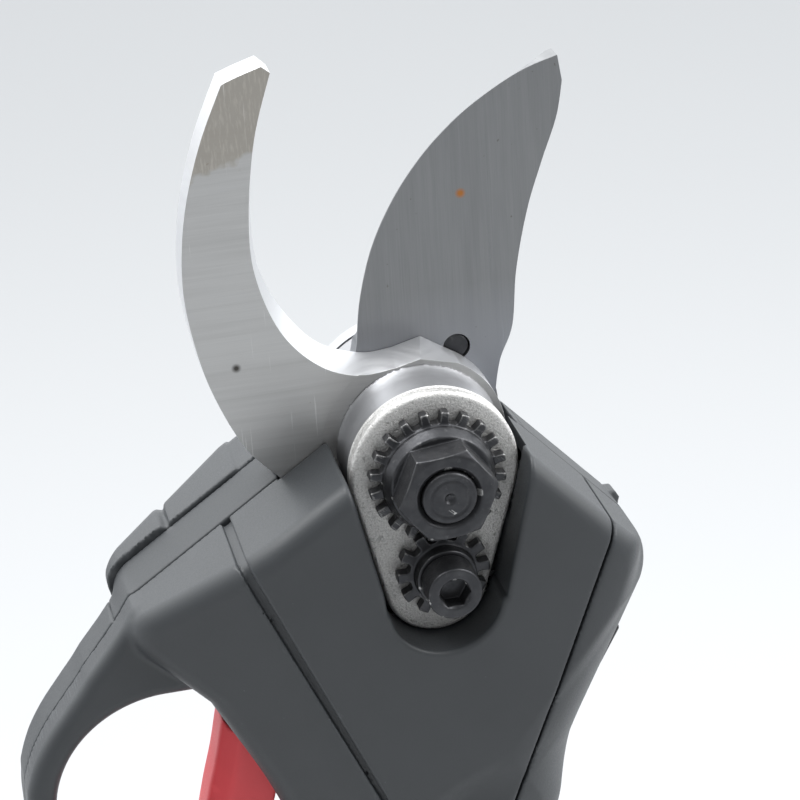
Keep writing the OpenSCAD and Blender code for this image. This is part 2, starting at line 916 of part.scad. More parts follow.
module shell_screws() {
    color("dimgray")
    for (p = shell_screw_at) {
        difference() {
            bar_y(2.7, 8 + gap, 10.4, p);
            extrude_y(9.2, 11) translate([p[0], p[1]]) circle(r = 1.2, $fn = 6);
        }
        bar_y(1.3, -16, 8.5, p);
    }
}

// ---------- trigger ----------

trigger_front = curve([[-38.5, -43], [-40.6, -50], [-42.7, -59.3], [-45, -67.7], [-47.5, -79],
    [-48.2, -89], [-46.5, -97.5]], 4);
trigger_back = curve([[-41.5, -99.2], [-38.2, -92], [-36.3, -80], [-33.7, -69.4], [-31.2, -60],
    [-30, -50]], 4);

module trigger() {
    color([0.75, 0.2, 0.22])
    difference() {
        union() {
            extrude_y(-11, 3) polygon(concat(trigger_front, trigger_back));
            bar_y(5, -11, 3, trigger_pivot);
        }
        bar_y(1.5 + run, -12, 4, trigger_pivot);
        bar_y(8.6, -12, -4.6, trigger_pivot);
        block([-41.1, -6.1, -86.1], [-35.3, -1.9, -81.9]);
    }
}

module trigger_magnet() {
    color("silver") block([-41, -6, -86], [-37.2, -2, -82]);
}

module trigger_pin() {
    color("silver") bar_y(1.5, -13.4, 5.4, trigger_pivot);
}

// Torsion spring round the trigger pin, with two short legs
module trigger_spring() {
    r = 2.7;
    turns = 4;
    steps = 16 * turns;
    coil = [
        for (i = [0 : steps])
            let (a = 360 * turns * i / steps)
            [trigger_pivot[0] + r * cos(a), -10 + 4.4 * i / steps, trigger_pivot[1] + r * sin(a)]
    ];
    color("silver")
        wire(concat([coil[0] - [0, 0, 4.5]], coil, [coil[steps] + [0, 0, 4.5]]), 0.4);
}

// ---------- electronics ----------

module control_board() {
    color("darkgreen") block([-21.6, -16, -112], [-20, 7, -78]);
    color("black") for (z = [-109, -102, -95], y = [-13, 0])
        block([-20, y, z], [-18.2, y + 5, z + 5]);
}

module display_board() {
    color("darkgreen") on_thumb_face()
        translate([-6.2, -9, -17.2]) cube([1.3, 18, 28]);
}

module display_window() {
    color([0.08, 0.09, 0.1]) on_thumb_face() {
        translate([-2.2, -8, -10]) cube([2.4, 16, 20]);
        translate([-3.6, -9.5, -11.5]) cube([0.9, 19, 23]);
        translate([-2.8, -7, -9]) cube([1, 14, 18]);
    }
}

module power_button() {
    color("darkred") on_thumb_face()
        translate([-3.4, 0, -14.8]) rotate([0, 90, 0]) {
            cylinder(r = 3, h = 4.2);
        }
}

module tool_contacts() {
    color([0.15, 0.15, 0.16]) block([-18, -16, -134], [12, 8, -130]);
    color("gold") for (x = contact_x)
        block([x - 0.4, -7.5, -145], [x + 0.4, -0.5, -133]);
}

contact_x = [-13.5, -6.5, 0.5, 7.5];

// Three phase leads from the motor to the board
module motor_leads() {
    color("orange")
    for (i = [-1, 0, 1])
        wire(curve([[-7, -8 + 3.4 * i, motor_bottom - 4], [-10, -8 + 3.4 * i, motor_bottom - 7],
            [-16, -8 + 3.4 * i, motor_bottom - 6], [-18.6, -8 + 3.4 * i, motor_bottom + 1.5]], 4), 0.8);
}

// Supply leads from the contacts up to the board
module battery_leads() {
    color("red")
    for (i = [0, 1])
        wire(curve([[-8 + 14 * i, 4.5 - 3.5 * i, -129.4], [-8 + 14 * i, 4.5 - 3.5 * i, -126.5],
            [-10 + 7 * i, 4.5 - 3.5 * i, -120.5], [-18.8, 4.5 - 3.5 * i, -116],
            [-20.8, 4.5 - 3.5 * i, -112.5]], 4), 1);
}

// ---------- battery ----------

cell_mid_y = body_mid_y;
cell_pitch = cell_d + 0.4;
cell_at = [
    for (i = [-1, 0, 1]) [grip_mid + cell_pitch * i, cell_mid_y - 8.05],
    for (i = [-1, 1]) [grip_mid + cell_pitch / 2 * i, cell_mid_y + 8.05]
];
pack_mid = [(pack_left + pack_right) / 2, (pack_front + pack_rear) / 2];
pack_size = [pack_right - pack_left, pack_rear - pack_front];
cells_bottom = pack_bottom + pack_wall + 0.6;

module pack_block(z0, z1, inset) {
    translate([pack_mid[0], pack_mid[1], z0])
        linear_extrude(z1 - z0)
            round_rect(pack_size[0] - 2 * inset, pack_size[1] - 2 * inset, 7 - inset);
}

module battery_case() {
    color([0.16, 0.17, 0.18])
    difference() {
        pack_block(pack_bottom, pack_top - lid_h, 0);
        pack_block(pack_bottom + pack_wall, pack_top, pack_wall);
        for (side = [0, 1])
            latch_window(side, 0.15);
    }
}

module latch_window(side, grow) {
    x = side == 0 ? pack_left - 1 : pack_right - 3;
    block([x, -3 - grow, -170 - grow], [x + 4, 9 + grow, -160 + grow]);
}

module battery_lid() {
    color([0.18, 0.19, 0.2])
    difference() {
        union() {
            pack_block(pack_top - lid_h + gap, pack_top, 0);
            block([-17.4, -15.4, pack_top - 1], [11.4, 7.4, pack_top + tongue_h]);
        }
        pack_block(pack_top - lid_h, pack_top - 2.5, pack_wall);
        for (x = contact_x)
            block([x - 1.3, -8.5, pack_top - 1.5], [x + 1.3, 0.5, pack_top + tongue_h + 1]);
        block([-15.4, -13.4, pack_top - 3], [9.4, 5.4, pack_top - 1.4]);
    }
}

module battery_contacts() {
    color("gold")
    for (x = contact_x, s = [-1, 1])
        block([x + s * 0.95 - 0.3, -7.8, pack_top - 2.4], [x + s * 0.95 + 0.3, -0.2, pack_top + 9]);
}

module battery_board() {
    color("darkgreen")
        block([-26, -20, pack_top - 3.9], [20, 11, pack_top - 2.6]);
}

module battery_cells() {
    color("steelblue")
    for (p = cell_at)
        translate([p[0], p[1], cells_bottom]) {
            cylinder(r = cell_d / 2, h = cell_len - 0.6);
            translate([0, 0, cell_len - 1]) cylinder(r = 4, h = 1);
        }
}

module cell_straps() {
    color("silver") {
        for (i = [0, 1])
            block([cell_at[2 * i][0] - 4, cell_at[0][1] - 3, cells_bottom - 0.25],
                [cell_at[min(2 * i + 1, 2)][0] + 4, cell_at[0][1] + 3, cells_bottom - 0.05]);
        block([cell_at[3][0] - 4, cell_at[3][1] - 3, cells_bottom - 0.25],
            [cell_at[4][0] + 4, cell_at[3][1] + 3, cells_bottom - 0.05]);
        block([cell_at[1][0] - 3, cell_at[1][1] - 3, cells_bottom + cell_len + 0.05],
            [cell_at[2][0] + 3, cell_at[1][1] + 3, cells_bottom + cell_len + 0.25]);
        block([cell_at[0][0] - 3, cell_at[0][1] - 3, cells_bottom + cell_len + 0.05],
            [cell_at[0][0] + 3, cell_at[3][1] + 3, cells_bottom + cell_len + 0.25]);
    }
}

// A press button in the side of the pack with a lip that keeps it in its window
module latch(side) {
    s = side == 0 ? -1 : 1;
    face = side == 0 ? pack_left : pack_right;
    x0 = min(face + s * 0.8, face - s * 2.2);
    x1 = max(face + s * 0.8, face - s * 2.2);
    lip0 = min(face - s * 2.1, face - s * 3.4);
    lip1 = max(face - s * 2.1, face - s * 3.4);
    color([0.75, 0.2, 0.22]) {
        block([x0, -3, -170], [x1, 9, -160]);
        block([lip0, -4, -171.5], [lip1, 10, -158.5]);
    }
}

module latch_left() { latch(0); }
module latch_right() { latch(1); }

// Every part is drawn about the pivot; the pruner then stands on the middle of
// the battery's underside, which is the origin
module stand() {
    translate([-pack_mid[0], -pack_mid[1], -pack_bottom]) children();
}

// ---------- nodes ----------

stand() front_shell();
stand() rear_shell();
stand() front_cover();
stand() left_spine_strip();
stand() right_spine_strip();
stand() shell_screws();
stand() fixed_blade();
stand() nose_casting();
stand() casting_screws();
stand() lock_plate();
stand() lock_screw();
stand() pivot_bolt();
stand() thrust_washer();
stand() gear_case();
stand() gearbox_screws();
stand() output_bearing();
stand() ring_gear();
stand() motor_plate();
stand() motor_can();
stand() motor_stator();
stand() motor_windings();
stand() motor_end_bell();
stand() motor_bearings();
stand() trigger_pin();
stand() trigger_spring();
stand() control_board();
stand() display_board();
stand() display_window();
stand() tool_contacts();
stand() motor_leads();
stand() battery_leads();
stand() moving_blade();
stand() sector_gear();
stand() drive_pin();
stand() pivot_bush();
stand() lock_nut();
stand() lock_pinion();
stand() bevel_pinion();
stand() output_carrier();
stand() planet_2a();
stand() planet_2b();
stand() planet_2c();
stand() first_carrier();
stand() planet_1a();
stand() planet_1b();
stand() planet_1c();
stand() motor_shaft();
stand() rotor_magnet();
stand() sun_gear();
stand() trigger();
stand() trigger_magnet();
stand() power_button();
stand() battery_case();
stand() battery_lid();
stand() battery_cells();
stand() cell_straps();
stand() battery_board();
stand() battery_contacts();
stand() latch_left();
stand() latch_right();
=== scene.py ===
"""Battery electric pruner: the looks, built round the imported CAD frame.

Lengths in this file are millimetres until a mesh is made, and metres after that.
Points are given about the blades' pivot, with -Y the nut side, +X the thumb side and +Z the
blade tips; making a mesh moves them to the CAD's origin under the battery.
"""

import json
import math

import bmesh
import bpy
import numpy as np
from mathutils import Matrix, Vector
from numpy import hypot, maximum, minimum


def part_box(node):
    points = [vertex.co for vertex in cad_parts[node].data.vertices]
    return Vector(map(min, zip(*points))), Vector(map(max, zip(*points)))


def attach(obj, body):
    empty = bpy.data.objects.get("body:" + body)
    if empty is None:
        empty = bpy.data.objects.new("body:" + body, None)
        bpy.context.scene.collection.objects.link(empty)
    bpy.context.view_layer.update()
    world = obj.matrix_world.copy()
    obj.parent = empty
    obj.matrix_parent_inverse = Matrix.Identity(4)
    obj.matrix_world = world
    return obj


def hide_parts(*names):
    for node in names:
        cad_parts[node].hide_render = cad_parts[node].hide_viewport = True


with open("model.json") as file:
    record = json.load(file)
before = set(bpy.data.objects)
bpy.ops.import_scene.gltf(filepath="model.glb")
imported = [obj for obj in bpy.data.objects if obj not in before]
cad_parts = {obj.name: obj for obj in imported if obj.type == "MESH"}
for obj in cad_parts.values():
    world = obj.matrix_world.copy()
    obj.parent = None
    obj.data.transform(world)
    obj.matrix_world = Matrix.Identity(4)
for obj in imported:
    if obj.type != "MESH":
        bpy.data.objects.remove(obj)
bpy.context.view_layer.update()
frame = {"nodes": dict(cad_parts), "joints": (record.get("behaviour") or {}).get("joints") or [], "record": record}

MM = 0.001
DETAIL = 1.0
JOINTS = {joint["name"]: joint for joint in frame["joints"]}
PIVOT = np.array(JOINTS["blade_swing"]["pos_m"]) / MM


def cad_box(node):
    """Lowest and highest corner of a CAD node about the pivot, in millimetres."""
    low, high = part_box(node)
    return np.array(low) / MM - PIVOT, np.array(high) / MM - PIVOT


# ---------- signed distances, negative inside ----------

def smooth_min(a, b, k):
    """Union with a soft fillet about k wide."""
    h = maximum(k - np.abs(a - b), 0) / k
    return minimum(a, b) - h * h * k / 4


def smooth_max(a, b, k):
    return -smooth_min(-a, -b, k)


def round_max(a, b, r):
    """Intersection whose outside edge has radius r."""
    inner = minimum(maximum(a, b), -r)
    return inner + hypot(maximum(a + r, 0), maximum(b + r, 0))


def cut(a, b, r=0.3):
    """a with b taken away, its new edge rounded by r."""
    return round_max(a, -b, r)


def ramp(v, start, end):
    """0 before start, 1 past end, smooth between."""
    t = np.clip((v - start) / (end - start), 0, 1)
    return t * t * (3 - 2 * t)


def polygon(x, z, points):
    """Signed distance to a closed outline in X and Z."""
    nearest = np.full(np.shape(x), 1e12)
    inside = np.zeros(np.shape(x), bool)
    for (ax, az), (bx, bz) in zip(points, points[1:] + points[:1]):
        ex, ez = bx - ax, bz - az
        wx, wz = x - ax, z - az
        t = np.clip((wx * ex + wz * ez) / (ex * ex + ez * ez), 0, 1)
        nearest = minimum(nearest, (wx - ex * t) ** 2 + (wz - ez * t) ** 2)
        crosses = (az > z) != (bz > z)
        if ez:
            inside ^= crosses & (x < ax + ex * wz / ez)
    return np.where(inside, -1, 1) * np.sqrt(nearest)


def slab(v, low, high):
    return maximum(low - v, v - high)


def disc(away, radius, y, low, high, r):
    """A disc or a stud along Y: away is the distance from its axis, r its edges' radius."""
    return round_max(away - radius, slab(y, low, high), r)


def block(x, y, z, low, high, r=0.0):
    """A box between two corners, with edges of radius r."""
    d = round_max(slab(x, low[0], high[0]), slab(y, low[1], high[1]), max(r, 1e-6))
    return round_max(d, slab(z, low[2], high[2]), max(r, 1e-6))


# ---------- meshing a distance field ----------

BLOCK = 6                # cells along a block's side
NET_MARGIN = 1.37        # cells left free round the box
NEAR_SPANS = 1.15        # blocks this near the surface are sampled
BLOCKS_AT_ONCE = 1500
SLOPE_STEP = 0.02
SLOPE_FLOOR = 0.05       # keeps the step small where the field is nearly flat
MAX_DRIFT_CELLS = 0.75
CORNERS = np.array([(i, j, k) for i in (0, 1) for j in (0, 1) for k in (0, 1)])
CELL_EDGES = [(a, b) for a in range(8) for b in range(a + 1, 8)
              if np.abs(CORNERS[a] - CORNERS[b]).sum() == 1]


def net(field, low, high, step):
    """Vertices and quads of the surface where field is zero, by surface nets on sparse blocks."""
    step = step * DETAIL
    low = np.array(low, float) - step * NET_MARGIN
    high = np.array(high, float) + step * NET_MARGIN
    span = BLOCK * step
    counts = np.ceil((high - low) / span).astype(int)
    index = np.stack(np.meshgrid(*[np.arange(c) for c in counts], indexing="ij"), -1).reshape(-1, 3)
    middle = low + (index + 0.5) * span
    near = np.abs(field(*middle.T)) < span * NEAR_SPANS
    index = index[near]
    local = np.arange(BLOCK + 1)
    corners = np.stack(np.meshgrid(local, local, local, indexing="ij"), -1).reshape(-1, 3)
    size = counts * BLOCK + 2
    cells, places, owned = [], [], []
    for part in np.array_split(index, max(1, len(index) // BLOCKS_AT_ONCE)):
        grid = part[:, None, :] * BLOCK + corners[None]
        points = low + grid * step
        shape = (len(part), BLOCK + 1, BLOCK + 1, BLOCK + 1)
        values = field(points[..., 0], points[..., 1], points[..., 2]).reshape(shape)
        at = [values[:, i:BLOCK + i, j:BLOCK + j, k:BLOCK + k] for i, j, k in CORNERS]
        count = sum((v < 0).astype(np.int8) for v in at)
        found = np.nonzero((count > 0) & (count < 8))
        v = np.stack([a[found] for a in at], -1)
        cell = part[found[0]] * BLOCK + np.stack(found[1:], -1)
        total, crossings = np.zeros((len(cell), 3)), np.zeros(len(cell))
        for a, b in CELL_EDGES:
            hit = (v[:, a] < 0) != (v[:, b] < 0)
            t = np.where(hit, v[:, a] / np.where(hit, v[:, a] - v[:, b], 1), 0)
            total += hit[:, None] * (CORNERS[a] + (CORNERS[b] - CORNERS[a]) * t[:, None])
            crossings += hit
        cells.append(cell)
        places.append(low + (cell + total / crossings[:, None]) * step)
        inside = (v[:, 0] < 0).astype(np.int8)
        owned.append(np.stack([inside - (v[:, c] < 0) for c in (4, 2, 1)], -1))
    cells, places, owned = map(np.concatenate, (cells, places, owned))
    key = (cells[:, 0] * size[1] + cells[:, 1]) * size[2] + cells[:, 2]
    order = np.argsort(key)
    key, cells, places, owned = key[order], cells[order], places[order], owned[order]
    stride = np.array([size[1] * size[2], size[2], 1])
    quads = []
    for axis in range(3):
        b, c = stride[(axis + 1) % 3], stride[(axis + 2) % 3]
        for sign in (1, -1):
            k = key[owned[:, axis] == sign]
            quad = np.stack([k, k - b, k - b - c, k - c], -1)
            quads.append(quad if sign > 0 else quad[:, ::-1])
    quads = np.searchsorted(key, np.concatenate(quads))
    places = settle(field, places, step)
    return places, quads


def settle(field, points, step, rounds=3):
    """Moves points on to the surface along the field's slope."""
    start = points.copy()
    for _ in range(rounds):
        value = field(*points.T)
        slope = np.stack([
            field(*(points + d).T) - field(*(points - d).T) for d in np.eye(3) * SLOPE_STEP
        ], -1) / (2 * SLOPE_STEP)
        move = slope * (value / maximum((slope ** 2).sum(1), SLOPE_FLOOR))[:, None]
        points = points - move
    drift = points - start
    far = np.linalg.norm(drift, axis=1)
    limit = MAX_DRIFT_CELLS * step
    return start + drift * minimum(1, limit / maximum(far, 1e-9))[:, None]


# ---------- making pieces ----------

def new_object(name, vertices, faces):
    """A mesh object from millimetre points and faces."""
    mesh = bpy.data.meshes.new(name)
    if isinstance(faces, np.ndarray):
        mesh.vertices.add(len(vertices))
        metres = (np.asarray(vertices) + PIVOT) * MM
        mesh.vertices.foreach_set("co", metres.astype(np.float32).ravel())
        mesh.loops.add(faces.size)
        mesh.loops.foreach_set("vertex_index", faces.astype(np.int32).ravel())
        mesh.polygons.add(len(faces))
        starts = np.arange(0, faces.size, faces.shape[1], dtype=np.int32)
        mesh.polygons.foreach_set("loop_start", starts)
        mesh.update(calc_edges=True)
        mesh.validate()
    else:
        mesh.from_pydata([tuple((np.array(v) + PIVOT) * MM) for v in vertices], [], faces)
        mesh.update()
    obj = bpy.data.objects.new(name, mesh)
    bpy.context.scene.collection.objects.link(obj)
    return obj


def apply_modifiers(obj):
    """Replaces the mesh with the result of its modifiers."""
    bpy.context.view_layer.update()
    graph = bpy.context.evaluated_depsgraph_get()
    mesh = bpy.data.meshes.new_from_object(obj.evaluated_get(graph))
    obj.modifiers.clear()
    obj.data = mesh


def shade(obj, sharp_deg):
    """Smooth shading with hard edges above an angle, and flat faces kept flat."""
    obj.data.polygons.foreach_set("use_smooth", [True] * len(obj.data.polygons))
    work = bmesh.new()
    work.from_mesh(obj.data)
    for edge in work.edges:
        edge.smooth = edge.calc_face_angle(math.pi) < math.radians(sharp_deg)
    work.to_mesh(obj.data)
    work.free()
    weighted = obj.modifiers.new("weighted", "WEIGHTED_NORMAL")
    weighted.keep_sharp = True
    apply_modifiers(obj)


def carved(name, field, low, high, step, keep=0.25):
    """A piece meshed from a distance field, with its flat stretches thinned out."""
    places, quads = net(field, low, high, step)
    obj = new_object(name, places, quads)
    if keep < 1:
        thin = obj.modifiers.new("thin", "DECIMATE")
        thin.ratio = keep
        apply_modifiers(obj)
    obj.data.polygons.foreach_set("use_smooth", [True] * len(obj.data.polygons))
    weighted = obj.modifiers.new("weighted", "WEIGHTED_NORMAL")
    weighted.keep_sharp = True
    apply_modifiers(obj)
    return obj


def bevel(obj, width, angle):
    """Two-segment rounding, in millimetres, of edges sharper than an angle in degrees."""
    mod = obj.modifiers.new("bevel", "BEVEL")
    mod.width = width * MM
    mod.segments = 2
    mod.limit_method = "ANGLE"
    mod.angle_limit = math.radians(angle)
    mod.use_clamp_overlap = True
    apply_modifiers(obj)


def loft(name, rings):
    """Rings of equal length joined by quads, each ring a list of points, with flat ends."""
    count = len(rings[0])
    vertices = [p for ring in rings for p in ring]
    faces = []
    for level in range(len(rings) - 1):
        for i in range(count):
            j = (i + 1) % count
            a, b = level * count, (level + 1) * count
            faces.append((a + i, b + i, b + j, a + j))
    faces.append(tuple(range(count)))
    faces.append(tuple(range(len(vertices) - 1, len(vertices) - count - 1, -1)))
    obj = new_object(name, vertices, faces)
    fix_normals(obj)
    return obj


def fix_normals(obj):
    work = bmesh.new()
    work.from_mesh(obj.data)
    bmesh.ops.recalc_face_normals(work, faces=work.faces)
    work.to_mesh(obj.data)
    work.free()


def place(obj, node, material):
    """Rides obj on its CAD node's body, hides the node and gives obj the material."""
    bodies = frame["record"]["behaviour"]["bodies"]
    body = next(b for b, members in bodies.items() if node in members)
    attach(obj, body)
    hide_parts(node)
    obj.data.materials.clear()
    obj.data.materials.append(material)
    return obj


def curve(knots, steps=10):
    """A Catmull-Rom curve through the knots."""
    k = np.array(knots, float)
    out = []
    for i in range(len(k) - 1):
        a, b, c, d = k[max(i - 1, 0)], k[i], k[i + 1], k[min(i + 2, len(k) - 1)]
        for s in range(steps):
            t = s / steps
            out.append(0.5 * (2 * b + (c - a) * t + (2 * a - 5 * b + 4 * c - d) * t * t
                              + (3 * b - a - 3 * c + d) * t ** 3))
    out.append(k[-1])
    return [tuple(p) for p in out]


# ---------- the handle's skin ----------

SEAM_Y, STRIP_Y = -6.0, 4.0          # the shells' seam, and the rear edge of the strips
FRONT_Y, REAR_Y = -28.0, 19.0
FOOT_Z = -150.0
WALL, THINNER_BY_MOTOR = 2.5, 0.5
SPLIT = 0.13                         # half the gap between mouldings
HEAD = [(-14.7, -2.5), (10.5, 0.8), (33.2, -23.7), (36.8, -30.2), (15.8, -68.8),
        (-25.3, -64.1), (-39.2, -37.4), (-50.7, -26.6)]
HEAD_R = 6.0
GRIP_LEFT, GRIP_RIGHT, GRIP_TOP = -26, 18.2, -58
FOOT_FLARE = (-134, -147)            # the heights where the grip widens to the battery
HEAD_FADE = (-85, -60)               # the heights where the grip turns into the head
EDGE_R, GRIP_EDGE_R, RIGHT_EDGE_R = 3.8, 9.7, 14.2
GUARD_X, GUARD_Z, GUARD_HALF = -51.5, -84.5, 21.0
GUARD_IN, GUARD_OUT = 22.5, 27.9
GUARD_WEB = [(-42, -24), (-55.6, -22.6), (-61.4, -30.2), (-65.4, -35.0), (-68.9, -40.1),
             (-72.3, -45.9), (-75.2, -51.6), (-77.4, -57.5), (-66, -57), (-42, -42)]
GUARD_FRONT, GUARD_REAR, GUARD_R = -13.5, 3.6, 2.6
# each top slope: a point on it, its direction, and the direction out of it
LEFT_SLOPE = ((-14.7, -2.5), (-0.831, -0.5565), (-0.5565, 0.831))
RIGHT_SLOPE = ((10.5, 0.8), (0.68, -0.734), (0.734, 0.68))
LEFT_STRIP, RIGHT_STRIP = (10.2, 50.5), (8.0, 36.8)
STRIP_DEPTH = 2.4
STEP_ALONG, NOTCH_ALONG, NIB_ALONG = 16.4, 33.3, 35.4


def slope_frame(x, z, slope):
    """Distance along one of the head's top slopes, and out from it."""
    (ox, oz), along, out = slope
    return ((x - ox) * along[0] + (z - oz) * along[1],
            (x - ox) * out[0] + (z - oz) * out[1] - HEAD_R)


def loop(x, z, r):
    tall = maximum(np.abs(z - GUARD_Z) - GUARD_HALF, 0)
    bend = hypot(x - GUARD_X, tall) - r
    return np.where(x < GUARD_X, bend, np.abs(z - GUARD_Z) - GUARD_HALF - r)


def rise_behind_seam(x, y, z):
    """How far the rear half stands proud of the front half along the two top slopes."""
    behind = np.clip(y - SEAM_Y, 0, STRIP_Y - SEAM_Y)
    along, out = slope_frame(x, z, LEFT_SLOPE)
    band = ramp(out, -6, -3) * ramp(along, 3, 9) * ramp(along, 53, 48)
    hump = 0.55 * ramp(along, 33.3, 35) - 0.45 * (along < STEP_ALONG)
    notch = maximum(1.0 - 1.1 * np.abs(along - NOTCH_ALONG), 0)
    left = band * (0.115 * behind + (0.6 + hump - notch) * (y > STRIP_Y))
    along, out = slope_frame(x, z, RIGHT_SLOPE)
    band = ramp(out, -6, -3) * ramp(along, -11, -5) * ramp(along, 49, 44)
    nib = 1.1 * np.clip(1.8 - np.abs(along - NIB_ALONG), 0, 1) * (y > 0) * (y < STRIP_Y)
    right = band * (nib - 0.04 * behind - 0.16 * maximum(y - STRIP_Y, 0))
    return (left + right) * (y > SEAM_Y)


def skin(x, y, z):
    """The closed handle: distance to its skin, and to the hollow inside it."""
    head = polygon(x, z, HEAD) - HEAD_R
    foot = ramp(z, *FOOT_FLARE)
    sides = maximum(GRIP_LEFT - 7 * foot - x, x - GRIP_RIGHT - 8.8 * foot)
    grip = maximum(sides, z - GRIP_TOP)
    body = smooth_min(head, grip, 12)
    web = polygon(x, z, GUARD_WEB)
    guard = smooth_max(smooth_min(loop(x, z, GUARD_OUT), web, 3), -loop(x, z, GUARD_IN), 0.6)
    guard = maximum(guard, x + 22)
    in_head = ramp(z, *HEAD_FADE)
    left = (x + 33) * -0.964 + (z + 10) * -0.265
    right = (x - 31) * 0.936 + (z + 12.2) * -0.352
    right_fall = 0.146 * right + 0.02 * maximum(right, 0) ** 2
    fall = smooth_max(smooth_max(0.42 * left * in_head, right_fall * in_head, 2.5), 0, 2.2)
    front, rear = FRONT_Y + fall, REAR_Y - 0.3 * maximum(left, 0) * in_head
    edge = EDGE_R + GRIP_EDGE_R * ramp(z, -62, -90) - 7.5 * foot
    past_corner = ramp(slope_frame(x, z, RIGHT_SLOPE)[0], 30, 42)
    front_edge = edge + RIGHT_EDGE_R * past_corner * in_head
    proud = rise_behind_seam(x, y, z)
    outline = body - proud
    hull = round_max(round_max(outline, front - y, front_edge), y - rear, edge)
    ring = round_max(round_max(guard, GUARD_FRONT - y, GUARD_R), y - GUARD_REAR, GUARD_R)
    d = round_max(smooth_min(hull, ring, 1.6), FOOT_Z - z, 1.2)
    wall = WALL - THINNER_BY_MOTOR * ramp(x, 8, 14) * ramp(z, -60, -68)
    return d, maximum(maximum(hull, body), FOOT_Z - z) + wall


PANEL = [(-36.2, 20), (-36.2, -9.4), (-5, -84), (3.9, -84), (31, -13), (31, 20)]
PANEL_FOOT, PANEL_FOOT_R = (-0.55, -83.6), 4.6
RECESS = [(-18.1, 8), (-11.4, -23), (10.1, -23), (17.4, 8)]
RECESS_AT, RECESS_R = (-1, -22), 10.5
RIM_WALL, RIM_BACK_Y = 1.8, -17.6


def panel(x, z):
    """The centre panel's outline, out to the grooves."""
    foot = hypot(x - PANEL_FOOT[0], z - PANEL_FOOT[1]) - PANEL_FOOT_R
    return smooth_min(polygon(x, z, PANEL), foot, 0.5)


def recess(x, z):
    foot = hypot(x - RECESS_AT[0], z - RECESS_AT[1]) - RECESS_R
    return smooth_min(polygon(x, z, RECESS + [(17.4, 30), (-18.1, 30)]), foot, 1.5)


def groove_width(x, z):
    """The gap round the cover: wide at the top left, a plain line on the right."""
    left = 0.8 + 1.0 * np.clip((z + 84) / 75, 0, 1)
    return np.where(x < 0, left, 0.45)


def groove_depth(x, y):
    """Deep on the front face, shallow over the top slope."""
    return 1.5 - 0.55 * ramp(y, -26, -23.5) * (x < 0)


def head_mouth(x, y, z):
    """The opening in the top of the head for the blades, the boss and the nut."""
    slot = block(x, y, z, (-26.35, -7, -10), (17.5, 8.6, 30))
    hub = maximum(hypot(x, z) - 18.4, -7 - y)
    return minimum(slot, maximum(hub, y - 8.6))


THUMB_AT, THUMB_TURN = (31.7, -1.5, -52.7), math.radians(29.17)
BUTTON_UP = -14.8        # the button's place below the window's middle


def thumb_frame(x, y, z):
    """Distances out from the thumb face, across it and up it."""
    c, s = math.cos(THUMB_TURN), math.sin(THUMB_TURN)
    dx, dz = x - THUMB_AT[0], z - THUMB_AT[2]
    return dx * c - dz * s, y - THUMB_AT[1], dx * s + dz * c


TRIGGER_SLOT = (-50, -11.4, -76), (-26.5, 3.4, -46)
BATTERY_MOUTH = (-18.2, -16.2, -160), (12.2, 8.2, -140)


def openings(x, y, z):
    """Everything cut right through the skin."""
    d = minimum(head_mouth(x, y, z), block(x, y, z, *TRIGGER_SLOT, 1))
    out, across, up = thumb_frame(x, y, z)
    window = block(out, across, up, (-6, -8.1, -10.1), (4, 8.1, 10.1), 1.2)
    button = maximum(hypot(across, up - BUTTON_UP) - 3.2, np.abs(out) - 5)
    d = minimum(d, minimum(window, button))
    return minimum(d, block(x, y, z, *BATTERY_MOUTH))


SCREWS = [(-44, -27.5), (34, -29.5), (23.5, -50), (-17.5, -124), (11.5, -124)]
# how far each post reaches forwards and back
SCREW_FRONT_Y = (-18.5, -25, -25, -25, -25)
SCREW_REAR_Y = (12.5, 16.5, 16.5, 16.5, 16.5)


def posts(x, y, z, front):
    """Screw posts inside the shells, and the holes down them."""
    post, hole = 1e6, 1e6
    for (sx, sz), near, far in zip(SCREWS, SCREW_FRONT_Y, SCREW_REAR_Y):
        away = hypot(x - sx, z - sz)
        if front:
            post = minimum(post, maximum(away - 3.4, slab(y, near, SEAM_Y)))
            hole = minimum(hole, maximum(away - 1.35, -16.2 - y))
        else:
            post = minimum(post, maximum(away - 3.4, slab(y, SEAM_Y, far)))
            hole = minimum(hole, minimum(away - 1.75, maximum(away - 2.9, 8 - y)))
    return post, hole


def on_guard(x, z):
    """1 on the finger guard, where the seam between the shells closes up."""
    return ramp(z, -30, -34) * ramp(x, -46, -52)


def seam_gap(x, z):
    return SPLIT - (SPLIT - 0.01) * on_guard(x, z)


def seam_edge(x, z):
    """Radius of the shells' edges along the seam."""
    return 0.3 - 0.29 * on_guard(x, z)


def strip_seat(x, y, z, grow):
    """The channels that the two strips lie in, made wider by grow."""
    d = 1e6
    for slope, ends in ((LEFT_SLOPE, LEFT_STRIP), (RIGHT_SLOPE, RIGHT_STRIP)):
        along, out = slope_frame(x, z, slope)
        seat = maximum(slab(along, ends[0] - grow, ends[1] + grow), -STRIP_DEPTH - grow - out)
        d = minimum(d, maximum(seat, slab(y, SEAM_Y - 1, STRIP_Y + grow)))
    return d


def front_shell(x, y, z):
    d, inner = skin(x, y, z)
    inside = panel(x, z)
    groove = maximum(inside - groove_width(x, z), -d - groove_depth(x, y))
    gone = minimum(groove, inside + 1.6)
    gone = maximum(gone, y - SEAM_Y - 2)
    post, hole = posts(x, y, z, True)
    hollow = minimum(maximum(d, -inner), maximum(d + 1, post))
    shell = round_max(hollow, y - SEAM_Y + seam_gap(x, z), seam_edge(x, z))
    return cut(maximum(cut(shell, gone, 0.25), -hole), openings(x, y, z), 0.3)


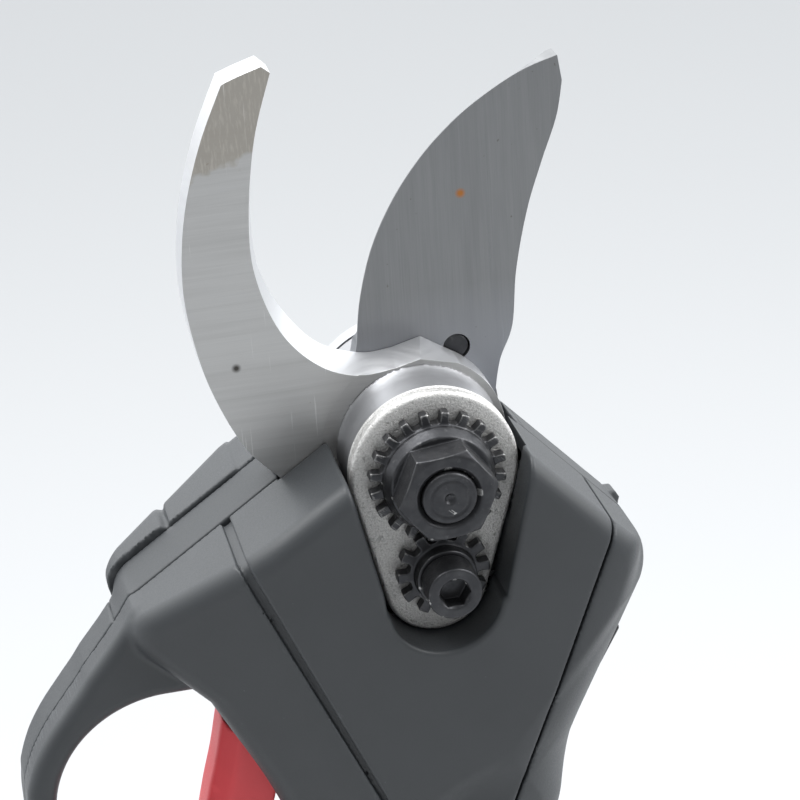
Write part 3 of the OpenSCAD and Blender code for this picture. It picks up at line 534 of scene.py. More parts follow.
def front_cover(x, y, z):
    d, inner = skin(x, y, z)
    inside, rim = panel(x, z), recess(x, z)
    plate = maximum(round_max(d, inside, 0.45), -inner)
    plate = maximum(plate, minimum(-d - groove_depth(x, y) + 0.1, inside + 1.75))
    wall = maximum(maximum(d, rim - RIM_WALL), maximum(y - RIM_BACK_Y, z - 3))
    cover = round_max(minimum(plate, wall), y - SEAM_Y + SPLIT, 0.3)
    cover = round_max(cover, -rim, 0.9)
    cover = maximum(cover, minimum(17 - hypot(x, z), y + 20.3))
    return cut(cover, head_mouth(x, y, z), 0.3)


def rear_shell(x, y, z):
    d, inner = skin(x, y, z)
    post, hole = posts(x, y, z, False)
    hollow = minimum(maximum(d, -inner), maximum(d + 1, post))
    shell = round_max(hollow, SEAM_Y + seam_gap(x, z) - y, seam_edge(x, z))
    shell = cut(shell, strip_seat(x, y, z, 0.2), 0.2)
    return cut(maximum(shell, -hole), openings(x, y, z), 0.3)


def strip(slope, ends):
    """The field of the strip along one slope, between two distances along it."""
    def field(x, y, z):
        d = skin(x, y, z)[0]
        along, out = slope_frame(x, z, slope)
        bar = round_max(d, slab(y, SEAM_Y + SPLIT, STRIP_Y - SPLIT), 0.3)
        bar = maximum(bar, slab(along, *ends))
        return cut(maximum(bar, -STRIP_DEPTH - out), head_mouth(x, y, z), 0.1)
    return field


# ---------- trigger, window and button ----------

TRIGGER_Y = (-11, 3)
TRIGGER_PIVOT = (-34, -46)
TRIGGER_FINGER = curve([(-38.5, -43), (-40.6, -50), (-42.7, -59.3), (-45, -67.7), (-47.5, -79),
                        (-48.2, -89), (-46.5, -97.5)], 6)
TRIGGER_BACK = curve([(-41.5, -99.2), (-38.2, -92), (-36.3, -80), (-33.7, -69.4), (-31.2, -60),
                      (-30, -50)], 6)
TRIGGER_CHAMFER = 3.0


def trigger(x, y, z):
    """The trigger, chamfered along its finger side, with its hub and the magnet's pocket."""
    flat = polygon(x, z, TRIGGER_FINGER + TRIGGER_BACK) - 0.4
    finger = np.array(TRIGGER_FINGER)[::-1]
    inward = x - np.interp(z, finger[:, 1], finger[:, 0])
    blade = round_max(flat, slab(y, *TRIGGER_Y), 0.6)
    for side in (y - TRIGGER_Y[0], TRIGGER_Y[1] - y):
        blade = round_max(blade, (TRIGGER_CHAMFER - inward - side) * 0.7, 0.5)
    hub = hypot(x - TRIGGER_PIVOT[0], z - TRIGGER_PIVOT[1])
    blade = minimum(blade, disc(hub, 5, y, *TRIGGER_Y, 0.6))
    blade = maximum(blade, -maximum(hub - 8.6, y + 4.6))
    pocket = block(x, y, z, (-41.1, -6.1, -86.1), (-35.3, -1.9, -81.9))
    return maximum(maximum(blade, 1.55 - hub), -pocket)


def window_glass(x, y, z):
    out, across, up = thumb_frame(x, y, z)
    glass = block(out, across, up, (-2.2, -8, -10), (0.2, 8, 10), 0.9)
    rim = block(out, across, up, (-3.6, -9.5, -11.5), (-2.7, 9.5, 11.5), 0.3)
    return minimum(glass, minimum(rim, block(out, across, up, (-2.8, -7, -9), (-1.8, 7, 9))))


def button(x, y, z):
    out, across, up = thumb_frame(x, y, z)
    away = hypot(across, up - BUTTON_UP)
    cap = disc(away, 3, out, -3.4, 0.8, 0.6)
    dish = np.sqrt(away ** 2 + (out - 8.5) ** 2) - 8.0
    return cut(cap, dish, 0.1)


BOARD = (-5.75, -4.65)
SWITCH_TOP = -4.27
# across, up, half width, half height and how far it stands off the board
BOARD_PARTS = [(-5.5, 6.5, 1.9, 1.2, 0.8), (0.5, 7.2, 2.6, 1.6, 0.6), (6.3, 5.8, 1.3, 2.1, 0.7),
               (-6.0, -7.5, 1.6, 2.4, 0.8), (5.4, -8.2, 2.2, 1.4, 0.8),
               (-5.8, -13.6, 1.5, 1.5, 0.6)]


def display_board(x, y, z):
    """The board under the window and button, with its chips and the button's switch."""
    out, across, up = thumb_frame(x, y, z)
    d = block(out, across, up, (BOARD[0], -9, -17.2), (BOARD[1], 9, 10.8), 0.15)
    for ca, cu, wide, tall, proud in BOARD_PARTS:
        low, high = (-5, ca - wide, cu - tall), (BOARD[1] + proud, ca + wide, cu + tall)
        d = minimum(d, block(out, across, up, low, high))
    switch = maximum(hypot(across, up - BUTTON_UP) - 2.2, slab(out, -5, SWITCH_TOP))
    return minimum(d, switch)


# ---------- blades ----------

HOOK_FRONT_Y, HOOK_BACK_Y, SPOT_Y = -6.75, -0.05, -6.5
HUB_R, SPOT_R = 16.6, 18.1
HOOK_NEAR = curve([(-21.9, 73.6), (-25.6, 62), (-27.7, 48), (-27.5, 37), (-23.9, 25.7),
                   (-17.5, 18.1), (-10, 14.8), (-3.1, 15.2)], 8)
HOOK_FAR = curve([(-21.5, 73), (-24.6, 62), (-26.3, 48), (-25.9, 36), (-21.8, 26.5),
                  (-16.1, 19.6), (-8.5, 16.5), (-2.9, 16.6)], 8)
HOOK_NEAR_CORNER, HOOK_FAR_CORNER = (1.2, 16.2), (2.8, 18)
HOOK_OUTSIDE = curve([(-26.2, -2.9), (-32, 4), (-37.1, 16), (-39.7, 27.7), (-40.4, 38),
                      (-38.9, 50), (-35.3, 62), (-30.5, 72.6)], 8)
HOOK_TIP = [(-27.7, 73.6), (-23.4, 74.9)]
BOLT_R, RUN = 5.0, 0.05      # RUN: running clearance on the bolt
HUB_CLEARANCE = 1.6          # room for the bush in the moving blade


def arc(r, start, end, steps):
    """Points on a circle about the pivot, from one angle to another in degrees."""
    angles = np.radians(np.linspace(start, end, steps))
    return [(r * math.cos(a), r * math.sin(a)) for a in angles]


def drill(obj, r, y0, y1, at=(0, 0), sides=64):
    """Takes a round hole along Y out of a piece."""
    points = [(at[0] + r * math.cos(a), at[1] + r * math.sin(a))
              for a in np.linspace(0, 2 * math.pi, sides, endpoint=False)]
    tool = loft("tool", [[(px, y, pz) for px, pz in points] for y in (y0, y1)])
    mod = obj.modifiers.new("drill", "BOOLEAN")
    mod.object = tool
    mod.operation = "DIFFERENCE"
    mod.solver = "EXACT"
    apply_modifiers(obj)
    bpy.data.objects.remove(tool)


def make_fixed_blade():
    """The hooked blade, its inner side slanting from near to far."""
    hub = arc(HUB_R, 60, -124, 60) + [(-19, -11.5)]
    near = HOOK_NEAR + [HOOK_NEAR_CORNER] + hub + HOOK_OUTSIDE + HOOK_TIP
    far = HOOK_FAR + [HOOK_FAR_CORNER] + hub + HOOK_OUTSIDE + HOOK_TIP
    rings = [[(x, HOOK_FRONT_Y, z) for x, z in near], [(x, HOOK_BACK_Y, z) for x, z in far]]
    obj = loft("hook_blade", rings)
    drill(obj, SPOT_R, -12, SPOT_Y, sides=128)
    drill(obj, BOLT_R + RUN, -12, 2)
    bevel(obj, 0.22, 28)
    shade(obj, 30)
    return obj


EDGE = curve([(-9, 17.9), (-7.8, 26.7), (-5, 36.4), (-0.6, 45), (4.8, 52.2), (10.6, 57.8),
              (16.3, 61.9), (23.8, 65.9), (30.7, 68)], 8)
SPINE = curve([(31.4, 63.2), (30.1, 56.5), (27, 48.3), (24, 39.5), (21.5, 28.2), (20.3, 17.4),
               (17.6, 10.6), (16.2, 2.5)], 8)
BLADE_Y, BLADE_BACK_Y = 0.05, 4.0
DRIVE_PIN_AT, DRIVE_PIN_HOLE_R = (9.6, 14.7), 2.55
GRIND = 4.6                  # width of the ground face behind the cutting edge
BURR = 0.35                  # thickness left at the edge


def offset_curve(points, distance):
    """Moves each point square to the curve, to its right."""
    p = np.array(points)
    run_ = np.gradient(p, axis=0)
    run_ /= np.linalg.norm(run_, axis=1)[:, None]
    return [tuple(q) for q in p + np.stack([run_[:, 1], -run_[:, 0]], -1) * distance]


def make_moving_blade():
    """The cutting blade, ground on its far side."""
    hub = arc(16.4, 2, -232, 90)
    last = len(EDGE) - 1
    taper = np.array([GRIND * min(1, i / 8) * min(1, max(last - 2 - i, 0) / 16)
                      for i in range(last + 1)])
    inner = np.array(offset_curve(EDGE, 1.0)) - np.array(EDGE)
    ground = [tuple(np.array(e) + v * g) for e, v, g in zip(EDGE, inner, taper)]
    rings = []
    for y, edge in ((BLADE_Y, EDGE), (BLADE_Y + BURR, EDGE), (BLADE_BACK_Y, ground)):
        rings.append([(x, y, z) for x, z in list(edge) + SPINE + hub])
    obj = loft("swing_blade", rings)
    drill(obj, BOLT_R + HUB_CLEARANCE, -2, 6)
    drill(obj, DRIVE_PIN_HOLE_R, -2, 6, DRIVE_PIN_AT)
    bevel(obj, 0.16, 35)
    shade(obj, 30)
    return obj


# ---------- lock nut, pinion, screw and bolt ----------

LOCK_CENTRE = 19.2
GEAR_Y = (-22.35, -19.95)
NUT_FLATS, NUT_FRONT_Y = 16.0, -30.9
NUT_TEETH, PINION_TEETH = 20, 12


def polar(x, z, at=(0, 0)):
    return hypot(x - at[0], z - at[1]), np.arctan2(z - at[1], x - at[0])


def hexagon(r, angle, flats, turn=0.0):
    """Distance to a hexagon with a corner at the turn angle."""
    sector = math.pi / 3
    a = np.mod(angle - turn, sector) - sector / 2
    return r * np.cos(a) - flats / 2


def toothed(r, angle, count, phase, root, tip, slot):
    """A ring of teeth with radial slots between them; slot is half a slot's width at its root."""
    pitch = 2 * math.pi / count
    a = np.mod(angle - phase + pitch / 2, pitch) - pitch / 2
    out, side = r * np.cos(a), np.abs(r * np.sin(a))
    gap = round_max(side - slot - 0.2 * (out - root), root - out, 0.5)
    return cut(r - tip, gap, 0.25)


def lock_nut(x, y, z):
    r, angle = polar(x, z)
    ring = toothed(r, angle, NUT_TEETH, 0.0, 10.4, 12.6, 0.82)
    flange = round_max(ring, slab(y, *GEAR_Y), 0.22)
    collar = maximum(r - 10.2, (r - 10.2 - (y + 23.2) * 0.42) * 0.92)
    collar = round_max(collar, slab(y, -25.4, -20.5), 0.3)
    body = hexagon(r, angle, NUT_FLATS, math.radians(6.3))
    chamfer = (r - 7.9 - (y - NUT_FRONT_Y) * 1.6) * 0.55
    body = round_max(round_max(body, slab(y, NUT_FRONT_Y, -24), 0.18), chamfer, 0.18)
    d = minimum(smooth_min(flange, collar, 0.5), body)
    mouth = (r - 6.0 - (NUT_FRONT_Y - y) * 1.0) * 0.7
    d = cut(d, maximum(mouth, r - 6.6), 0.15)
    return maximum(d, BOLT_R + RUN - r)


def pivot_bolt(x, y, z):
    """The bolt from its dimpled front end to the head behind the blades."""
    r, angle = polar(x, z)
    shank = disc(r, BOLT_R, y, -31.3, 13, 0.7)
    head = round_max(hexagon(r, angle, 15.9), slab(y, 12.25, 15.8), 0.3)
    dimple = np.sqrt(r ** 2 + (y + 31.9) ** 2) - 1.25
    ring = hypot(r - 3.5, y + 31.4) - 0.32
    return cut(cut(minimum(shank, head), dimple, 0.15), ring, 0.12)


def lock_pinion(x, y, z):
    """The small gear in mesh with the nut, turning on the lock screw."""
    r, angle = polar(x, z, (0, -LOCK_CENTRE))
    gear = toothed(r, angle, PINION_TEETH, math.radians(15), 6.4, 8.6, 0.8)
    gear = round_max(gear, slab(y, *GEAR_Y), 0.22)
    collar = disc(r, 5.6, y, -24.93, -21, 0.35)
    return maximum(smooth_min(gear, collar, 0.4), 3.15 - r)


def lock_screw(x, y, z):
    r, angle = polar(x, z, (0, -LOCK_CENTRE))
    head = disc(r, 5, y, -31, -25.05, 0.45)
    socket = maximum(hexagon(r, angle, 5), y + 27.6)
    lead = (r - 3.1 + (y + 31) * 1.0) * 0.7
    head = cut(cut(head, socket, 0.1), maximum(lead, r - 3.4), 0.15)
    return minimum(head, maximum(r - 3, slab(y, -25.5, -13.9)))


def drive_stud(x, y, z):
    r = polar(x, z, DRIVE_PIN_AT)[0]
    return disc(r, 2.3, y, 0.4, 8, 0.25)


PLATE_Y = (-19.9, -16.0)
PLATE_FOOT, BOSS_FOOT = (-0.9, -22.6), (-0.7, -22.6)


def obround(x, z, r1, r2, foot):
    """Two circles joined by their outer tangents: r1 about the pivot, r2 about the foot."""
    length = math.hypot(*foot)
    ux, uz = foot[0] / length, foot[1] / length
    along = x * ux + z * uz
    side = np.abs(x * uz - z * ux)
    lean = (r1 - r2) / length
    drop = math.sqrt(1 - lean * lean)
    k = along * drop - side * lean
    near = hypot(along, side) - r1
    far = hypot(along - length, side) - r2
    flank = side * drop + along * lean - r1
    return np.where(k < 0, near, np.where(k > length * drop, far, flank))


def lock_plate(x, y, z):
    outline = obround(x, z, 15.5, 9.6, PLATE_FOOT)
    d = round_max(outline, slab(y, *PLATE_Y), 0.85)
    line = hypot(outline + 0.1, y + 17.3) - 0.35
    d = cut(d, line, 0.15)
    bolt = BOLT_R + RUN - hypot(x, z)
    return maximum(maximum(d, bolt), 3 - hypot(x, z + LOCK_CENTRE))


CASTING_FLANGE_Y = (-9.5, -6.55)


def nose_casting(x, y, z):
    """The boss that carries the plate, and the flange that holds it to the gear case."""
    outline = obround(x, z, 14.6, 8.8, BOSS_FOOT)
    flare = np.clip((y + 10.4) / 3.85, 0, 1)
    boss = maximum(outline - 1.2 * (1 - np.sqrt(1 - flare ** 2 * 0.96)), slab(y, -15.95, -6.55))
    r = hypot(x, z)
    fan = maximum(r - 32.5, np.abs(x) * 0.574 + z * 0.819)
    flange = round_max(maximum(fan, -32.9 - z), slab(y, *CASTING_FLANGE_Y), 0.4)
    d = smooth_min(boss, flange, 2.5)
    d = maximum(d, y - CASTING_FLANGE_Y[1])
    screw_holes = maximum(hypot(x, z + LOCK_CENTRE) - 3, y + 13.9)
    shaft = maximum(hypot(x, y + 4.2) - 8.7, z + 18.4)
    return maximum(maximum(d, BOLT_R + RUN - r), maximum(-screw_holes, -shaft))


# ---------- battery ----------

PACK_LOW, PACK_HIGH = cad_box("battery_case")
LID_LOW, LID_HIGH = cad_box("battery_lid")
PACK_WALL = 2.0
LATCH_Y, LATCH_Z = (-3, 9), (-170, -160)
CONTACT_X = (-13.5, -6.5, 0.5, 7.5)


def pack(x, y, z, z0, z1, inset, corner, foot):
    """The battery's outline between two heights, smaller by inset all round."""
    dx = np.abs(x - (PACK_LOW[0] + PACK_HIGH[0]) / 2) - (PACK_HIGH[0] - PACK_LOW[0]) / 2 + inset
    dy = np.abs(y - (PACK_LOW[1] + PACK_HIGH[1]) / 2) - (PACK_HIGH[1] - PACK_LOW[1]) / 2 + inset
    return round_max(round_max(dx, dy, corner), slab(z, z0, z1), foot)


def latch_windows(x, y, z, grow):
    """The holes that the latches' knobs come out of, made wider by grow."""
    left, right = cad_box("latch_left")[0][0], cad_box("latch_right")[1][0]
    d = 1e6
    for x0, x1 in ((left - 1, left + 3.2), (right - 3.2, right + 1)):
        low = (x0, LATCH_Y[0] - grow, LATCH_Z[0] - grow)
        high = (x1, LATCH_Y[1] + grow, LATCH_Z[1] + grow)
        d = minimum(d, block(x, y, z, low, high, 1))
    return d


def battery_case(x, y, z):
    d = pack(x, y, z, PACK_LOW[2], PACK_HIGH[2], 0, 7, 2.2)
    d = np.where(z > PACK_HIGH[2] - 3, pack(x, y, z, PACK_LOW[2], PACK_HIGH[2], 0, 7, 0.4), d)
    ribs = maximum(np.abs(np.mod(z + 182, 5) - 2.5) - 0.8, np.abs(z + 197) - 15)
    near_skin = np.abs(pack(x, y, z, -400, 0, 0, 7, 1)) - 0.5
    d = cut(d, maximum(maximum(ribs, near_skin), 19 - np.abs(x + 3)), 0.25)
    hollow = pack(x, y, z, PACK_LOW[2] + PACK_WALL, 0, PACK_WALL, 5, 0.5)
    return maximum(maximum(d, -hollow), -latch_windows(x, y, z, 0.15))


def battery_lid(x, y, z):
    top = LID_HIGH[2] - 12
    cap = pack(x, y, z, LID_LOW[2], top, 0, 7, 0.4)
    tongue = block(x, y, z, (-17.4, -15.4, top - 1), (11.4, 7.4, top + 12), 0.8)
    d = minimum(cap, tongue)
    under = pack(x, y, z, LID_LOW[2] - 2, top - 2.5, PACK_WALL, 5, 0.3)
    d = maximum(d, -under)
    well = block(x, y, z, (-15.4, -13.4, top - 3), (9.4, 5.4, top - 1.4))
    d = maximum(d, -well)
    for cx in CONTACT_X:
        d = maximum(d, -block(x, y, z, (cx - 1.3, -8.5, top - 1.5), (cx + 1.3, 0.5, top + 20)))
    return d


def latch(node, sign):
    """The field of one release latch: a ribbed knob on a lip, facing left where sign is -1."""
    low, high = cad_box(node)

    def field(x, y, z):
        if sign < 0:
            outer, lip = (low[0], low[0] + 3), (low[0] + 2.9, high[0])
        else:
            outer, lip = (high[0] - 3, high[0]), (low[0], high[0] - 2.9)
        knob = block(x, y, z, (outer[0], LATCH_Y[0], LATCH_Z[0]),
                     (outer[1], LATCH_Y[1], LATCH_Z[1]), 0.7)
        face = outer[0] if sign < 0 else outer[1]
        for rib in (-167.4, -165, -162.6):
            knob = cut(knob, hypot(x - face, z - rib) - 0.45, 0.15)
        return minimum(knob, block(x, y, z, (lip[0], -4, -171.5), (lip[1], 10, -158.5), 0.3))
    return field


# ---------- materials ----------

MAP_ENDS = ("From Min", "From Max", "To Min", "To Max")


class Nodes:
    """A material's node tree, with short calls for the nodes used here."""

    def __init__(self, name, color, roughness, metallic=0.0):
        self.material = bpy.data.materials.new(name)
        self.material.use_nodes = True
        self.tree = self.material.node_tree
        self.shader = self.tree.nodes["Principled BSDF"]
        self.shader.inputs["Metallic"].default_value = metallic
        self.color, self.roughness = (*color, 1.0), roughness
        self.height = None
        self.where = self.tree.nodes.new("ShaderNodeTexCoord").outputs["Object"]

    def node(self, kind, settings=None, **inputs):
        """A new node; inputs are named by socket, or i0, i1... by number."""
        made = self.tree.nodes.new(kind)
        for key, value in (settings or {}).items():
            setattr(made, key, value)
        for key, value in inputs.items():
            numbered = key[0] == "i" and key[1:].isdigit()
            self.feed(made.inputs[int(key[1:]) if numbered else key], value)
        return made

    def feed(self, socket, value):
        if isinstance(value, bpy.types.NodeSocket):
            self.tree.links.new(value, socket)
        else:
            socket.default_value = value

    def math(self, operation, a, b=0.0, clamp=False):
        settings = {"operation": operation, "use_clamp": clamp}
        return self.node("ShaderNodeMath", settings, i0=a, i1=b).outputs[0]

    def stretched(self, scale):
        """Object coordinates scaled per axis, in features per millimetre."""
        return self.node("ShaderNodeMapping", Vector=self.where,
                         Scale=tuple(s / MM for s in scale)).outputs["Vector"]

    def noise(self, scale, detail=3.0, roughness=0.55):
        """Fractal noise from 0 to 1, in features per millimetre along each axis."""
        return self.node("ShaderNodeTexNoise", Vector=self.stretched(scale), Scale=1.0,
                         Detail=detail, Roughness=roughness).outputs["Fac"]

    def span(self, value, low, high, to_low=0.0, to_high=1.0):
        """Maps a range of a value to another range, clamped."""
        made = self.node("ShaderNodeMapRange", Value=value)
        for key, v in zip(MAP_ENDS, (low, high, to_low, to_high)):
            made.inputs[key].default_value = v
        return made.outputs["Result"]

    def mix(self, amount, a, b):
        made = self.node("ShaderNodeMix", {"data_type": "RGBA"})
        self.feed(made.inputs[0], amount)
        self.feed(made.inputs[6], a)
        self.feed(made.inputs[7], b)
        return made.outputs[2]

    def tint(self, amount, color, strength=None):
        """Mixes a colour in where amount is 1, by a strength of up to 1."""
        if strength is not None:
            amount = self.math("MULTIPLY", amount, strength)
        self.color = self.mix(amount, self.color, (*color, 1.0))

    def rise(self, value, weight):
        """Adds to the bump height, in millimetres."""
        part = self.math("MULTIPLY", value, weight)
        self.height = part if self.height is None else self.math("ADD", self.height, part)

    def along(self, direction, start):
        """Millimetres from a point along a direction, as a value."""
        place_ = (np.array(start) + PIVOT) * MM
        shifted = self.node("ShaderNodeVectorMath", {"operation": "SUBTRACT"}, i0=self.where,
                            i1=tuple(place_)).outputs[0]
        dot = self.node("ShaderNodeVectorMath", {"operation": "DOT_PRODUCT"}, i0=shifted,
                        i1=tuple(direction)).outputs["Value"]
        return self.math("MULTIPLY", dot, 1 / MM)

    def spot(self, at, radius, soft):
        """1 within a radius of a point, fading out over a soft edge."""
        place_ = tuple((np.array(at) + PIVOT) * MM)
        away = self.node("ShaderNodeVectorMath", {"operation": "DISTANCE"}, i0=self.where,
                         i1=place_).outputs["Value"]
        return self.span(away, (radius + soft) * MM, radius * MM)

    def edges(self, low, high):
        """1 on worn convex edges."""
        return self.span(self.node("ShaderNodeNewGeometry").outputs["Pointiness"], low, high)

    def facing(self, direction, low, high):
        """0 to 1 as the faces' own slant towards a direction goes from low to high."""
        normal = self.node("ShaderNodeNewGeometry").outputs["True Normal"]
        slant = self.node("ShaderNodeVectorMath", {"operation": "DOT_PRODUCT"}, i0=normal,
                          i1=tuple(direction)).outputs["Value"]
        return self.span(slant, low, high)

    def done(self):
        self.feed(self.shader.inputs["Base Color"], self.color)
        self.feed(self.shader.inputs["Roughness"], self.roughness)
        if self.height is not None:
            bump = self.node("ShaderNodeBump", Height=self.height, Strength=1.0, Distance=MM)
            self.tree.links.new(bump.outputs["Normal"], self.shader.inputs["Normal"])
        return self.material


def moulded(name, color, roughness=0.5, grain=0.012, scuff=0.02):
    """Fine-grained moulded plastic with faint flow marks and scuffed edges."""
    n = Nodes(name, color, roughness)
    cloud = n.noise((0.06, 0.06, 0.06), 4)
    fine = n.noise((3.2, 3.2, 3.2), 3)
    n.tint(n.span(cloud, 0.35, 0.7, 0, 0.35), tuple(c * 1.28 for c in color))
    scuffed = tuple(min(1, c * 1.9 + 0.02) for c in color)
    n.tint(n.edges(0.53, 0.6), scuffed, scuff * 10)
    specks = n.span(n.noise((0.9, 0.9, 0.9), 2), 0.76, 0.8)
    n.tint(specks, tuple(c * 2.4 + 0.03 for c in color), 0.35)
    n.roughness = n.span(fine, 0.3, 0.7, roughness - 0.06, roughness + 0.08)
    n.rise(fine, grain)
    n.rise(cloud, 0.02)
    return n.done()


def metal(name, color, roughness=0.3, streak=(0.05, 3.0, 3.0), depth=0.006, patch=0.25):
    """Bare metal with fine tool marks along one direction and uneven tarnish."""
    n = Nodes(name, color, roughness, metallic=1.0)
    marks = n.noise(streak, 4, 0.65)
    cloud = n.noise((0.09, 0.09, 0.09), 3)
    n.tint(n.span(cloud, 0.4, 0.75, 0, patch), tuple(c * 0.72 for c in color))
    n.tint(n.span(marks, 0.35, 0.7, 0, 0.3), tuple(min(1, c * 1.25) for c in color))
    n.roughness = n.span(marks, 0.25, 0.75, roughness - 0.08, roughness + 0.12)
    n.rise(marks, depth)
    return n.done()


RUST_AT = (11.8, 0.05, 44.5)
DENT_AT = (-32.3, -6.7, 19.8)


def hook_steel():
    """Light cross-brushed steel with a straw-coloured tip, hairline scratches and a painted highlight on the faces
    turned away from the front.
    """
    n = Nodes("blade_steel", (0.49, 0.49, 0.487), 0.38, metallic=0.85)
    brush = n.noise((0.06, 0.06, 5.0), 5, 0.7)
    broad = n.noise((0.02, 0.02, 0.55), 3, 0.6)
    slant = n.noise((2.2, 2.2, 0.35), 3, 0.6)
    n.tint(n.span(brush, 0.3, 0.72, 0, 0.55), (0.6, 0.597, 0.585))
    n.tint(n.span(broad, 0.45, 0.75, 0, 0.3), (0.33, 0.327, 0.32))
    above = n.along((-0.316, 0.0, 0.949), (-36.7, -6, 56.1))
    wobble = n.math("ADD", above, n.span(n.noise((0.25, 0.25, 0.25), 3), 0.3, 0.7, -1.6, 1.6))
    tip = n.span(wobble, -0.6, 0.8)
    n.tint(tip, (0.37, 0.34, 0.295), 0.8)
    n.tint(n.math("MULTIPLY", tip, n.span(slant, 0.5, 0.66, 0, 0.4)), (0.58, 0.55, 0.5))
    spots = n.span(n.noise((0.5, 0.5, 0.5), 2), 0.74, 0.78)
    n.tint(spots, (0.26, 0.23, 0.2), 0.5)
    scratches = n.span(n.noise((1.6, 0.1, 0.05), 2), 0.68, 0.72)
    n.tint(scratches, (0.9, 0.9, 0.9), 0.35)
    # painted highlight: faces turned away from the front, the slanted inner wall among them, are painted light
    # grey
    n.tint(n.facing((0, -1, 0), 0.8, 0.5), (0.74, 0.75, 0.77), 0.8)
    n.tint(n.spot(DENT_AT, 0.3, 0.7), (0.07, 0.065, 0.06))
    n.roughness = n.span(brush, 0.25, 0.75, 0.3, 0.5)
    n.rise(brush, 0.012)
    return n.done()


def swing_steel():
    """Darker ground steel, brushed up the blade, with a rust spot, specks and a painted reflection lighter towards
    its lower end.
    """
    n = Nodes("blade_grey", (0.23, 0.235, 0.24), 0.36, metallic=0.88)
    brush = n.noise((4.5, 0.1, 0.06), 5, 0.68)
    broad = n.noise((0.35, 0.05, 0.025), 3, 0.6)
    n.tint(n.span(brush, 0.32, 0.72, 0, 0.5), (0.32, 0.323, 0.325))
    n.tint(n.span(broad, 0.45, 0.75, 0, 0.35), (0.165, 0.168, 0.173))
    specks = n.span(n.noise((0.8, 0.8, 0.8), 2), 0.74, 0.77)
    n.tint(specks, (0.12, 0.11, 0.1), 0.6)
    n.tint(n.spot(RUST_AT, 0.35, 0.75), (0.42, 0.17, 0.05))
    # painted reflection: the blade is painted lighter and bluer towards its lower end
    painted_reflection_low = n.math("MULTIPLY", n.along((0.0, 0.0, -1.0), (0, 0, 27)), 0.05, True)
    n.tint(painted_reflection_low, (0.34, 0.35, 0.38))
    n.roughness = n.span(brush, 0.25, 0.75, 0.26, 0.48)
    n.rise(brush, 0.01)
    return n.done()


def blasted():
    """Coarse sandblasted casting with its convex edges, the rim among them, painted lighter."""
    n = Nodes("blasted_silver", (0.66, 0.652, 0.635), 0.5, metallic=0.8)
    grit = n.noise((2.6, 2.6, 2.6), 3, 0.75)
    pits = n.span(n.noise((0.8, 0.8, 0.8), 3), 0.42, 0.28)
    n.tint(n.span(grit, 0.5, 0.62, 0, 0.7), (0.85, 0.845, 0.83))
    n.tint(n.span(grit, 0.47, 0.36, 0, 0.55), (0.3, 0.295, 0.285))
    n.tint(pits, (0.2, 0.195, 0.185), 0.3)
    # convex edges painted lighter
    n.tint(n.edges(0.515, 0.55), (0.72, 0.72, 0.71), 0.75)
    n.roughness = n.span(grit, 0.3, 0.7, 0.34, 0.58)
    n.rise(grit, 0.2)
    n.rise(pits, -0.1)
    return n.done()


def oxide(name, worn_edges):
    """Black oxide on steel, rubbed bright along its edges if the mesh is fine enough for it."""
    n = Nodes(name, (0.045, 0.046, 0.05), 0.36, metallic=0.75)
    fine = n.noise((2.4, 2.4, 2.4), 4, 0.6)
    cloud = n.noise((0.35, 0.35, 0.35), 3)
    n.tint(n.span(cloud, 0.4, 0.7, 0, 0.5), (0.085, 0.086, 0.09))
    if worn_edges:
        worn = n.math("MULTIPLY", n.edges(0.53, 0.6), n.span(fine, 0.3, 0.55, 0.45, 0.9))
        n.tint(worn, (0.5, 0.5, 0.49))
    rub = n.span(n.noise((0.9, 0.9, 0.9), 3), 0.62, 0.74)
    n.tint(rub, (0.2, 0.2, 0.2), 0.25)
    n.roughness = n.span(fine, 0.3, 0.7, 0.3, 0.5)
    n.rise(fine, 0.02)
    return n.done()


def polished():
    """Smooth polished casting with faint waviness."""
    n = Nodes("cast_silver", (0.42, 0.425, 0.44), 0.5, metallic=0.9)
    cloud = n.noise((0.25, 0.25, 0.25), 3)
    fine = n.noise((0.3, 3.0, 0.3), 3)
    n.tint(n.span(cloud, 0.4, 0.7, 0, 0.35), (0.3, 0.3, 0.31))
    n.roughness = n.span(fine, 0.3, 0.7, 0.46, 0.56)
    n.rise(cloud, 0.02)
    n.rise(fine, 0.003)
    return n.done()


def glossy(name, color, roughness):
    n = Nodes(name, color, roughness)
    dust = n.span(n.noise((1.2, 1.2, 1.2), 3), 0.66, 0.74)
    n.tint(dust, tuple(c + 0.08 for c in color), 0.15)
    n.roughness = n.span(n.noise((0.3, 0.3, 0.3), 4), 0.3, 0.7, roughness, roughness + 0.12)
    n.rise(n.noise((0.5, 0.5, 0.5), 2), 0.01)
    return n.done()


